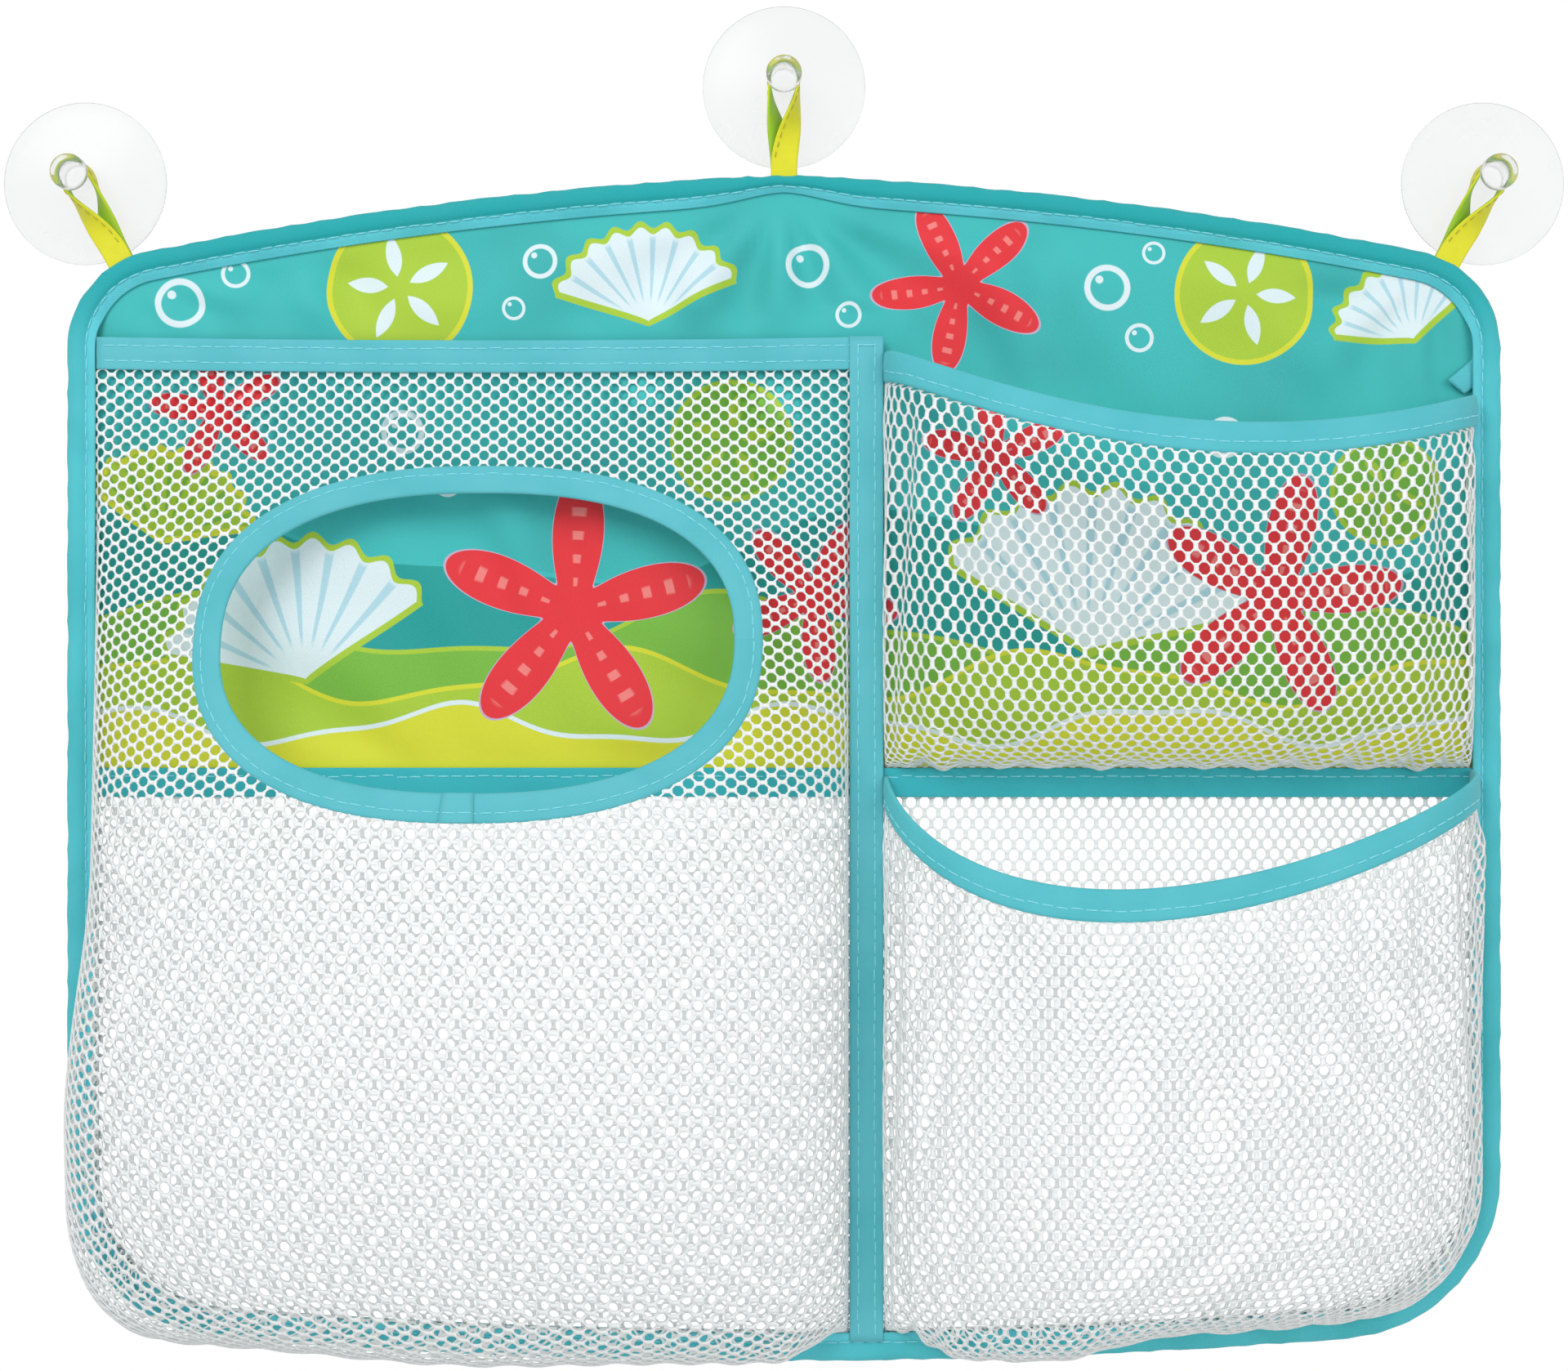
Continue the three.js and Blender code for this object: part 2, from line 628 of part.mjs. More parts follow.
/** Net of the left pocket with its oval mouth cut out. */
function leftPocketNet(wall) {
  const hemInset = BINDING_WIDTH + NET_OFFSET - HEM_WIDTH;
  const dividerSide = DIVIDER_X - DIVIDER_WIDTH / 2 - NET_OFFSET;
  const foot = baseEdge(hemInset, -dividerSide, -1);
  const hemTop = LEFT_POCKET_TOP + HEM_WIDTH;
  const net = thicken(netSheet(wall, {
    left: sideEdge(hemInset, LEFT_POCKET_TOP, -1),
    right: dividerEdge(-1, NET_OFFSET - HEM_WIDTH, LEFT_POCKET_TOP, wall.bottom(1).y),
    top: (share) => wall.top(share).setY(hemTop),
    bottom: (share) => foot(1 - share),
  }), NET_THICKNESS);
  const reach = 2 * LEFT_BELLY_DEPTH;
  return cutAway(net, plate(ovalOutline(SEAM_GAP), wall.seamY - LEFT_BELLY_DEPTH / 2, reach));
}

/** Tape round the oval mouth, lying in the net's own curve. */
function ovalOpeningBinding(wall) {
  const edge = (margin) =>
    ovalOutline(margin).map((p) => new THREE.Vector3(p.x, wall.depthAt(p.x, p.y), p.y));
  const facing = Array.from({ length: OVAL_STEPS }, () => new THREE.Vector3(0, -1, 0));
  return thicken(strip(edge(-OVAL_TAPE_WIDTH), edge(0), facing, true), OVAL_TAPE_THICKNESS);
}

/** Bound lip of a right pocket: a tape that sags forward between its two sewn ends. */
class Lip {
  constructor({ leftDrop, rightDrop, forward, sag, lowest }) {
    Object.assign(this, { forward, sag, skew: Math.log(0.5) / Math.log(lowest) });
    const offset = SEAM_GAP + LIP_THICKNESS / 2;
    const left = DIVIDER_X + DIVIDER_WIDTH / 2 + offset;
    const right = sideX(BINDING_WIDTH + offset, PEAK_Z - rightDrop);
    this.start = new THREE.Vector3(left, layerY(DIVIDER_LAYER), PEAK_Z - leftDrop);
    this.end = new THREE.Vector3(right, layerY(DIVIDER_LAYER), PEAK_Z - rightDrop);
  }

  /** Point at a share along the lip and a distance down its width. */
  point(across, width) {
    const skewed = across ** this.skew;
    const share = sectionShare(2 * across - 1);
    const tilt = LIP_TILT * share;
    const p = this.start.clone().lerp(this.end, across);
    p.y -= this.forward * share + width * Math.sin(tilt);
    p.z -= 4 * this.sag * skewed * (1 - skewed) + width * Math.cos(tilt);
    return p;
  }

  /** The tape itself. */
  geometry() {
    const turns = [...Array(LIP_STEPS + 1).keys()].map((i) => Math.cos((Math.PI * i) / LIP_STEPS));
    const soft = (turn) => (1 - Math.sign(turn) * Math.abs(turn) ** (2 / SECTION_ROUNDNESS)) / 2;
    const shares = turns.map(soft);
    const edge = (width) => shares.map((share) => this.point(share, width));
    const top = edge(0);
    const bottom = edge(LIP_WIDTH);
    const normals = top.map((p, i) => {
      const along = top[Math.min(i + 1, LIP_STEPS)].clone().sub(top[Math.max(i - 1, 0)]);
      return along.cross(bottom[i].clone().sub(p)).normalize();
    });
    return thicken(strip(top, bottom, normals, false), LIP_THICKNESS);
  }
}

/** Open-topped right pocket under a lip: belly drops are from the lip's lower edge. */
function rightPocketWall(lip, belly, right, bottom, foot) {
  const width = LIP_WIDTH + LIP_SEAM_GAP;
  const seamY = layerY(2);
  const inset = BAG_HALF_WIDTH - BINDING_WIDTH - NET_OFFSET;
  const dividerSide = DIVIDER_X + DIVIDER_WIDTH / 2 + NET_OFFSET;
  const top = (share) => {
    const p = lip.point(share, width);
    return new THREE.Vector2(lerp(dividerSide, inset, share), p.z);
  };
  const middle = lip.point(0.5, width);
  return new NetWall(
    { left: dividerEdge(1, NET_OFFSET, top(0).y, bottom(0).y), right: right(top(1).y), top, bottom },
    seamY,
    new BellyProfile(middle.z - foot, seamY - middle.y, belly.depth, belly.drop),
  );
}

/** Upper right pocket, sewn along its foot under the centre band. */
function upperRightPocketNet(lip) {
  const inset = BINDING_WIDTH + NET_OFFSET;
  const footZ = CENTRE_BAND_Z + CENTRE_BAND_WIDTH / 2 + NET_OFFSET;
  const rightX = BAG_HALF_WIDTH - inset;
  const leftX = DIVIDER_X + DIVIDER_WIDTH / 2 + NET_OFFSET;
  const upright = (x) => (top) => straightEdge(new THREE.Vector2(x, top), new THREE.Vector2(x, footZ));
  const foot = straightEdge(new THREE.Vector2(leftX, footZ), new THREE.Vector2(rightX, footZ));
  const wall = rightPocketWall(lip, UPPER_BELLY, upright(rightX), foot, footZ);
  return thicken(netSheet(wall, {
    left: dividerEdge(1, NET_OFFSET - HEM_WIDTH, wall.left(0).y, footZ),
    right: upright(rightX + HEM_WIDTH)(wall.right(0).y),
    bottom: (share) => wall.bottom(share).setY(footZ - HEM_WIDTH),
  }), NET_THICKNESS);
}

/** Lower right pocket, sewn into the binding round the bottom corner. */
function lowerRightPocketNet(lip) {
  const inset = BINDING_WIDTH + NET_OFFSET;
  const hemInset = inset - HEM_WIDTH;
  const from = DIVIDER_X + DIVIDER_WIDTH / 2 + NET_OFFSET;
  const foot = baseEdge(inset, from, 1);
  const wall = rightPocketWall(lip, LOWER_BELLY, (top) => sideEdge(inset, top, 1), foot, foot(0).y);
  return thicken(netSheet(wall, {
    left: dividerEdge(1, NET_OFFSET - HEM_WIDTH, wall.left(0).y, foot(0).y),
    right: sideEdge(hemInset, wall.right(0).y, 1),
    bottom: baseEdge(hemInset, from, 1),
  }), NET_THICKNESS);
}

/** Suction cup about the y axis: flat rim on the wall, shallow hollow, dome, neck and rounded head. */
function suctionCup() {
  const rim = CUP_DIAMETER / 2;
  const neck = NECK_DIAMETER / 2;
  const head = HEAD_DIAMETER / 2;
  const headBack = CUP_RISE + NECK_LENGTH;
  const headFront = headBack + HEAD_LENGTH;
  const hollow = new THREE.QuadraticBezierCurve(
    new THREE.Vector2(0, CUP_HOLLOW_DEPTH),
    new THREE.Vector2((rim - CUP_RIM_WIDTH) / 2, CUP_HOLLOW_DEPTH),
    new THREE.Vector2(rim - CUP_RIM_WIDTH, 0),
  );
  const dome = new THREE.CubicBezierCurve(
    new THREE.Vector2(rim, CUP_RIM_THICKNESS),
    new THREE.Vector2(rim / 2, CUP_RISE - NECK_FILLET),
    new THREE.Vector2(neck, CUP_RISE - NECK_FILLET),
    new THREE.Vector2(neck, CUP_RISE),
  );
  const rounding = new THREE.EllipseCurve(
    head - HEAD_ROUNDING, headFront - HEAD_ROUNDING, HEAD_ROUNDING, HEAD_ROUNDING, 0, Math.PI / 2,
  );
  const profile = [
    ...hollow.getPoints(4),
    new THREE.Vector2(rim, 0),
    ...dome.getPoints(6),
    new THREE.Vector2(neck, headBack),
    new THREE.Vector2(head, headBack),
    ...rounding.getPoints(3),
    new THREE.Vector2(0, headFront),
  ];
  const revolved = profile.map((p) => new THREE.Vector2(p.x, -p.y)).reverse();
  return new THREE.LatheGeometry(revolved, CUP_SEGMENTS);
}

/**
 * Tape loop, upright from its fold at the origin: two legs that turn on edge and meet round the neck.
 * Hand is 1 where the front leg passes left of the neck and -1 where it passes right.
 */
function hangingLoop(hand) {
  const wrap = NECK_DIAMETER / 2 + LOOP_NECK_PLAY + LOOP_THICKNESS / 2;
  const stations = [];
  const station = (x, y, z, twist, normal) => stations.push({
    middle: new THREE.Vector3(hand * x, y, z),
    across: new THREE.Vector3(Math.cos(twist), -hand * Math.sin(twist), 0),
    normal: new THREE.Vector3(hand * normal.x, normal.y, normal.z),
  });
  const leg = (side, rising) => {
    for (let i = 0; i < LOOP_LEG_STEPS; i += 1) {
      const rise = rising ? i / LOOP_LEG_STEPS : 1 - (i + 1) / LOOP_LEG_STEPS;
      const eased = rise * rise * (3 - 2 * rise);
      const twist = eased * (Math.PI / 2);
      const normal = new THREE.Vector3(side * Math.sin(twist), side * Math.cos(twist), 0);
      station(side * wrap * eased, side * LOOP_FOLD_RADIUS * (1 - eased), LOOP_REACH * rise, twist, normal);
    }
  };
  leg(-1, true);
  for (let i = 0; i <= LOOP_WRAP_STEPS; i += 1) {
    const turn = (Math.PI * i) / LOOP_WRAP_STEPS;
    const out = new THREE.Vector3(-Math.cos(turn), 0, Math.sin(turn));
    station(wrap * out.x, 0, LOOP_REACH + wrap * out.z, Math.PI / 2, out);
  }
  leg(1, false);
  for (let i = 1; i < LOOP_FOLD_STEPS; i += 1) {
    const turn = (Math.PI * i) / LOOP_FOLD_STEPS;
    const out = new THREE.Vector3(0, Math.cos(turn), -Math.sin(turn));
    station(0, LOOP_FOLD_RADIUS * out.y, LOOP_FOLD_RADIUS * out.z, 0, out);
  }
  const corner = ({ middle, across, normal }, a, n) => middle.clone()
    .addScaledVector(across, (a * LOOP_WIDTH) / 2)
    .addScaledVector(normal, (n * LOOP_THICKNESS) / 2);
  return closedSweep(stations.map((s) => [[-1, -1], [1, -1], [1, 1], [-1, 1]].map(([a, n]) => corner(s, a, n))));
}

/** A loop with its cup, standing square to the outline at an angle off upright. */
function hanger(name, lean, hand) {
  const seat = lean === 0
    ? new THREE.Vector2(0, PEAK_Z + SEAT_RISE)
    : new THREE.Vector2(Math.sin(Math.abs(lean)), Math.cos(lean))
      .multiplyScalar(TOP_CORNER_RADIUS + SEAT_RISE)
      .add(TOP_CORNER);
  const group = new THREE.Group();
  group.position.set(Math.sign(lean) * seat.x, BAG_PLANE, seat.y);
  group.rotation.y = lean;
  const cup = piece(`${name}_suction_cup`, suctionCup(), CLEAR_VINYL);
  cup.position.set(0, -BAG_PLANE, LOOP_REACH);
  group.add(piece(`${name}_loop`, hangingLoop(hand), LOOP_LIME), cup);
  return group;
}

/** The whole organizer. */
function bathToyOrganizer() {
  const organizer = new THREE.Group();
  const leftWall = leftPocketWall();
  const upperLip = new Lip(UPPER_LIP);
  const lowerLip = new Lip(LOWER_LIP);
  organizer.add(
    piece("printed_back_panel", printedBackPanel(), TEAL),
    piece("back_net", backNet(), NET_WHITE),
    piece("centre_band", centreBand(), TAPE_TEAL),
    piece("perimeter_binding", perimeterBinding(), TAPE_TEAL),
    piece("left_pocket_net", leftPocketNet(leftWall), NET_WHITE),
    piece("left_pocket_top_band", leftPocketTopBand(), TAPE_TEAL),
    piece("oval_opening_binding", ovalOpeningBinding(leftWall), TAPE_TEAL),
    piece("divider_tape", dividerTape(), TAPE_TEAL),
    piece("upper_right_pocket_net", upperRightPocketNet(upperLip), NET_WHITE),
    piece("upper_right_lip", upperLip.geometry(), TAPE_TEAL),
    piece("lower_right_pocket_net", lowerRightPocketNet(lowerLip), NET_WHITE),
    piece("lower_right_lip", lowerLip.geometry(), TAPE_TEAL),
    hanger("left", -SIDE_LOOP_LEAN, 1),
    hanger("top", 0, -1),
    hanger("right", SIDE_LOOP_LEAN, -1),
  );
  return organizer;
}

export default bathToyOrganizer();
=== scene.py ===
"""Bath toy organizer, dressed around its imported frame: printed cloth, nets, tapes, loops and suction cups.

Everything is in metres in the frame of the part: +X to the right, +Z up, the wall at y = 0 and the front
towards -Y. The origin is the middle of the top suction cup, where it meets the wall.
"""

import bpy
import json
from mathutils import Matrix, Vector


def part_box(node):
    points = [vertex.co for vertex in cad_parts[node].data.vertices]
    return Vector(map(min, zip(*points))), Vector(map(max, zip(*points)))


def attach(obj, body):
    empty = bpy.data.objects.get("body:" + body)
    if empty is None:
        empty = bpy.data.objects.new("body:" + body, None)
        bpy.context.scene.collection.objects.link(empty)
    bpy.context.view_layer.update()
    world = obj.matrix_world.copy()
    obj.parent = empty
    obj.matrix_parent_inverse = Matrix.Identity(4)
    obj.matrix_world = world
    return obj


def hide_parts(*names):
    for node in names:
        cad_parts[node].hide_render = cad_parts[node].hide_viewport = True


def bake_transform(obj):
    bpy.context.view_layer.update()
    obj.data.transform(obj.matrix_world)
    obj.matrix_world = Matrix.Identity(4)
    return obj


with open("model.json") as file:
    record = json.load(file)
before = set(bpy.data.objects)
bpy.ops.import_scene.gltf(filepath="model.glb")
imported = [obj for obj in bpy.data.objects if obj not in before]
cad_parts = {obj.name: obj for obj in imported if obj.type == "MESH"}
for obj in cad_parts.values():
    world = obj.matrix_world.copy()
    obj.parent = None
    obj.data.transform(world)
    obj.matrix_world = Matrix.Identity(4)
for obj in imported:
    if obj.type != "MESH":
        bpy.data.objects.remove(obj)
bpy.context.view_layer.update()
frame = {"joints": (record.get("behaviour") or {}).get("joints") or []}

import json
import logging
import math
from dataclasses import dataclass
from enum import Enum, IntEnum
from typing import Callable, Protocol, Sequence

import bpy
import numpy as np

LOG = logging.getLogger("bath_toy_organizer")
PHOTO_SIZE = (1919, 1678)
FORWARD = np.array([0.0, -1.0, 0.0])
Colour = tuple[float, float, float]
Pair = tuple[float, float]
Array = np.ndarray
Piece = bpy.types.Object
Material = bpy.types.Material
Socket = bpy.types.NodeSocket


class Body(Enum):
    """Bodies of the frame that the pieces ride on."""

    BAG = "bag"
    UPPER_LIP = "upper_lip"
    LOWER_LIP = "lower_lip"
    LEFT_HANGER = "left_hanger"
    TOP_HANGER = "top_hanger"
    RIGHT_HANGER = "right_hanger"
    LEFT_CUP = "left_cup"
    TOP_CUP = "top_cup"
    RIGHT_CUP = "right_cup"


class Slot(Enum):
    """Material slots of the record."""

    PRINT = "printed_cloth"
    NET = "net"
    TAPE = "binding_tape"
    LOOP = "loop_tape"
    VINYL = "clear_vinyl"


class Axis(IntEnum):
    """Axes of the frame."""

    X = 0
    Y = 1
    Z = 2


class Side(Enum):
    """Left or right half of the bag, as a sign of x."""

    LEFT = -1.0
    RIGHT = 1.0


def hex_colour(code: str) -> Colour:
    """Linear colour of a written hexadecimal one.

    Args:
        code: six hexadecimal digits.

    Returns:
        Red, green and blue for a shader socket.
    """
    shares = [int(code[i:i + 2], 16) / 255 for i in (0, 2, 4)]
    return tuple(s / 12.92 if s <= 0.04045 else ((s + 0.055) / 1.055) ** 2.4 for s in shares)


def smooth_step(value: Array, low: float, high: float) -> Array:
    """Share of the way from low to high, eased at both ends."""
    t = np.clip((value - low) / (high - low), 0, 1)
    return t * t * (3 - 2 * t)


def unit(vectors: Array) -> Array:
    """The same directions at length one."""
    return vectors / np.maximum(np.linalg.norm(vectors, axis=-1, keepdims=True), 1e-12)


def lengths_along(points: Array) -> Array:
    """Distance from the first point to each point of a line."""
    return np.concatenate([[0.0], np.cumsum(np.linalg.norm(np.diff(points, axis=0), axis=1))])


def read_line(line: Array, along: Array, wanted: Array) -> Array:
    """Values of a line at wanted distances, from those that its points have along it."""
    return np.stack([np.interp(wanted, along, column) for column in line.T], axis=-1)


def joined(*parts: Array | float) -> Array:
    """Points from their coordinates, each of them a row of values or one value for all."""
    return np.stack(np.broadcast_arrays(*parts), axis=-1)


def bow(share: Array) -> Array:
    """Rises from 0 at either end to 1 in the middle."""
    return 4 * share * (1 - share)


def bulge(share: Array, roundness: float) -> Array:
    """Rises from 0 at either end to 1 in the middle, fuller than a bow and steep at the ends."""
    return np.clip(1 - np.abs(2 * share - 1) ** roundness, 0, 1) ** (1 / roundness)


def crowded(count: int, roundness: float) -> Array:
    """Shares from 0 to 1 that crowd towards both ends, where a bulge is steepest."""
    bend = np.cos(np.pi * np.linspace(0, 1, count))
    return (1 - np.sign(bend) * np.abs(bend) ** (2 / roundness)) / 2


def bezier(controls: Sequence[Sequence[float]], steps: int) -> Array:
    """Points along the curve that a few control points draw.

    Args:
        controls: the control points.
        steps: number of points wanted.

    Returns:
        The points.
    """
    t = np.linspace(0, 1, steps)[:, None]
    level = [np.array(control) for control in controls]
    while len(level) > 1:
        level = [a * (1 - t) + b * t for a, b in zip(level, level[1:])]
    return level[0]


@dataclass(frozen=True)
class Ruffle:
    """Even waves in cloth or net."""

    height: float
    length: float
    start: float = 0.0

    def at(self, place: Array, shift: Array | float = 0.0) -> Array:
        """Height of the waves at each place, shifted along by an angle."""
        return self.height * np.sin(2 * np.pi * place / self.length + self.start + shift)


@dataclass
class Route:
    """A line of points that is read by shares of its length."""

    points: Array

    def at(self, shares: Array) -> Array:
        """Points at shares of the length, 0 to 1.

        Args:
            shares: how far along, from 0 to 1.

        Returns:
            One point for each share.
        """
        along = lengths_along(self.points)
        return read_line(self.points, along, np.asarray(shares, float) * along[-1])


def arc(centre: Array, radius: float, start: float, end: float, step: float) -> Array:
    """Points of an arc about a centre, from one angle to another, about a step apart."""
    count = max(2, math.ceil(abs(end - start) * radius / step) + 1)
    angles = np.linspace(start, end, count)
    return centre + radius * joined(np.cos(angles), np.sin(angles))


@dataclass(frozen=True)
class BagOutline:
    """Outline of the bag in x and z: two long arcs above, one below, and rounded corners."""

    half_width: float
    peak_z: float
    bottom_z: float
    top_radius: float = 1.370
    peak_slope: float = math.radians(2.3)
    top_corner: float = 0.034
    bottom_radius: float = 2.440
    bottom_corner: float = 0.057
    corner_split: float = -math.pi / 4

    @property
    def top_centre(self) -> Array:
        """Centre of the right half's top arc."""
        slope = self.peak_slope
        return np.array([-self.top_radius * math.sin(slope), self.peak_z - self.top_radius * math.cos(slope)])

    @property
    def bottom_centre(self) -> Array:
        """Centre of the bottom arc."""
        return np.array([0.0, self.bottom_z + self.bottom_radius])

    @property
    def top_corner_centre(self) -> Array:
        """Centre of the right top corner."""
        return self._corner(self.top_centre, self.top_radius, self.top_corner, 1)

    @property
    def bottom_corner_centre(self) -> Array:
        """Centre of the right bottom corner."""
        return self._corner(self.bottom_centre, self.bottom_radius, self.bottom_corner, -1)

    @property
    def bottom_turn(self) -> float:
        """Angle at which the bottom arc runs into its corner."""
        across, up = self.bottom_corner_centre - self.bottom_centre
        return math.atan2(up, across)

    def _corner(self, centre: Array, radius: float, corner: float, up: int) -> Array:
        """Centre of a corner that touches a long arc and the straight side."""
        x = self.half_width - corner
        return np.array([x, centre[1] + up * math.sqrt((radius - corner) ** 2 - (x - centre[0]) ** 2)])

    def rim(self, step: float) -> tuple[Array, Array]:
        """Points and outward directions once round the bag, clockwise from the peak.

        Args:
            step: distance between points.

        Returns:
            Points and directions in x and z.
        """
        top, bottom = self.top_centre, self.bottom_centre
        high, low = self.top_corner_centre, self.bottom_corner_centre
        start = math.acos(-top[0] / self.top_radius)
        turn = math.atan2(*(high - top)[::-1])
        side_z = np.linspace(high[1], low[1], math.ceil((high[1] - low[1]) / step))[1:-1]
        runs = [
            (top, arc(top, self.top_radius, start, turn, step)),
            (high, arc(high, self.top_corner, turn, 0, step)[1:]),
            (joined(0.0, side_z), joined(self.half_width, side_z)),
            (low, arc(low, self.bottom_corner, 0, self.bottom_turn, step)),
            (bottom, arc(bottom, self.bottom_radius, self.bottom_turn, -math.pi / 2, step)[1:]),
        ]
        half = np.concatenate([points for _, points in runs])
        facing = np.concatenate([unit(points - centre) for centre, points in runs])
        facing[0] = (0.0, 1.0)
        mirror = np.array([-1.0, 1.0])
        points = np.concatenate([half, half[-2:0:-1] * mirror])
        return points, np.concatenate([facing, facing[-2:0:-1] * mirror])

    def top_z(self, x: Array, inset: float) -> Array:
        """Height of the top edge at each x, set in from the edge.

        Args:
            x: places across the bag.
            inset: distance in from the edge.

        Returns:
            The heights.
        """
        across = np.abs(x)
        top, corner = self.top_centre, self.top_corner_centre
        turn = math.atan2(*(corner - top)[::-1])
        long_arc = top[1] + np.sqrt(np.maximum(0, (self.top_radius - inset) ** 2 - (across - top[0]) ** 2))
        over = np.maximum(0, (self.top_corner - inset) ** 2 - np.maximum(0, across - corner[0]) ** 2)
        tangent = top[0] + (self.top_radius - inset) * math.cos(turn)
        return np.where(across <= tangent, long_arc, corner[1] + np.sqrt(over))

    def side(self, inset: float, top: float, side: Side, step: float = 0.002) -> Route:
        """Side of the bag from a height down to the middle of the bottom corner."""
        corner = self.bottom_corner_centre
        bend = arc(corner, self.bottom_corner - inset, 0, self.corner_split, step)
        points = np.concatenate([[[self.half_width - inset, top]], bend])
        return Route(points * [side.value, 1.0])

    def foot(self, inset: float, start: float, side: Side, step: float = 0.002) -> Route:
        """Foot of the bag from a distance off its middle out to the middle of the bottom corner."""
        radius, corner, turn = self.bottom_radius - inset, self.bottom_corner - inset, self.bottom_turn
        long_arc = arc(self.bottom_centre, radius, -math.acos(start / radius), turn, step)
        bend = arc(self.bottom_corner_centre, corner, turn, self.corner_split, step)
        return Route(np.concatenate([long_arc, bend[1:]]) * [side.value, 1.0])


@dataclass
class Shape:
    """A mesh in the making: points, faces and the two texture measures of each face corner."""

    points: Array
    faces: list[tuple[int, ...]]
    corner_uv: Array | None = None

    def build(self, name: str) -> Piece:
        """Makes the mesh object, shaded smooth and with its faces turned outward.

        Args:
            name: name of the object.

        Returns:
            The object, linked to the scene.
        """
        mesh = bpy.data.meshes.new(name)
        mesh.from_pydata(self.points.tolist(), [], self.faces)
        if self.corner_uv is not None:
            layer = mesh.uv_layers.new(name="measure")
            layer.data.foreach_set("uv", self.corner_uv.astype(np.float32).ravel())
        mesh.polygons.foreach_set("use_smooth", np.ones(len(mesh.polygons), bool))
        mesh.calc_loop_triangles()
        corners = np.empty(3 * len(mesh.loop_triangles), np.int32)
        mesh.loop_triangles.foreach_get("vertices", corners)
        a, b, c = (self.points - self.points.mean(axis=0))[corners.reshape(-1, 3).T]
        if np.sum(a * np.cross(b, c)) < 0:
            mesh.flip_normals()
        mesh.update()
        piece = bpy.data.objects.new(name, mesh)
        bpy.context.scene.collection.objects.link(piece)
        return piece


def grid_shape(points: Array, u: Array, v: Array, loop_u: bool = False, loop_v: bool = False,
               cap: bool = False) -> Shape:
    """A surface of rows of points, closed along either way or capped at its two ends.

    Args:
        points: rows by columns by 3.
        u: texture measure of each row, one more than the rows where they close.
        v: texture measure of each column, one more than the columns where they close.
        loop_u: whether the last row joins the first.
        loop_v: whether the last column joins the first.
        cap: whether the first and the last row are filled.

    Returns:
        The shape.
    """
    rows, columns = points.shape[:2]
    i, j = np.meshgrid(np.arange(rows - (not loop_u)), np.arange(columns - (not loop_v)), indexing="ij")
    i, j = i.ravel(), j.ravel()
    here, following, beside = i * columns, (i + 1) % rows * columns, (j + 1) % columns
    quads = np.stack([here + j, following + j, following + beside, here + beside], axis=1)
    corner_uv = np.stack([[u[i], v[j]], [u[i + 1], v[j]], [u[i + 1], v[j + 1]], [u[i], v[j + 1]]])
    corner_uv = corner_uv.transpose(2, 0, 1).reshape(-1, 2)
    faces = [tuple(quad) for quad in quads.tolist()]
    if cap:
        first = list(range(columns))
        last = [(rows - 1) * columns + k for k in reversed(range(columns))]
        faces += [tuple(first), tuple(last)]
        ends = [[u[0], v[k]] for k in first] + [[u[-1], v[k]] for k in reversed(range(columns))]
        corner_uv = np.concatenate([corner_uv, ends])
    return Shape(points.reshape(-1, 3), faces, corner_uv)


def thickened(points: Array, normals: Array, quads: Array, thickness: float) -> tuple[Array, Array]:
    """Gives a sheet of four-sided faces its thickness, with a wall along every free edge.

    Args:
        points: middle of the sheet.
        normals: outward direction at each point.
        quads: faces as rows of four point numbers.
        thickness: thickness of the sheet.

    Returns:
        Points and faces of the closed sheet.
    """
    count = len(points)
    both = np.concatenate([points + normals * thickness / 2, points - normals * thickness / 2])
    start = quads.ravel()
    end = np.roll(quads, -1, axis=1).ravel()
    free = ~np.isin(start * count + end, end * count + start)
    walls = np.stack([end[free], start[free], start[free] + count, end[free] + count], axis=1)
    return both, np.concatenate([quads, quads[:, ::-1] + count, walls])


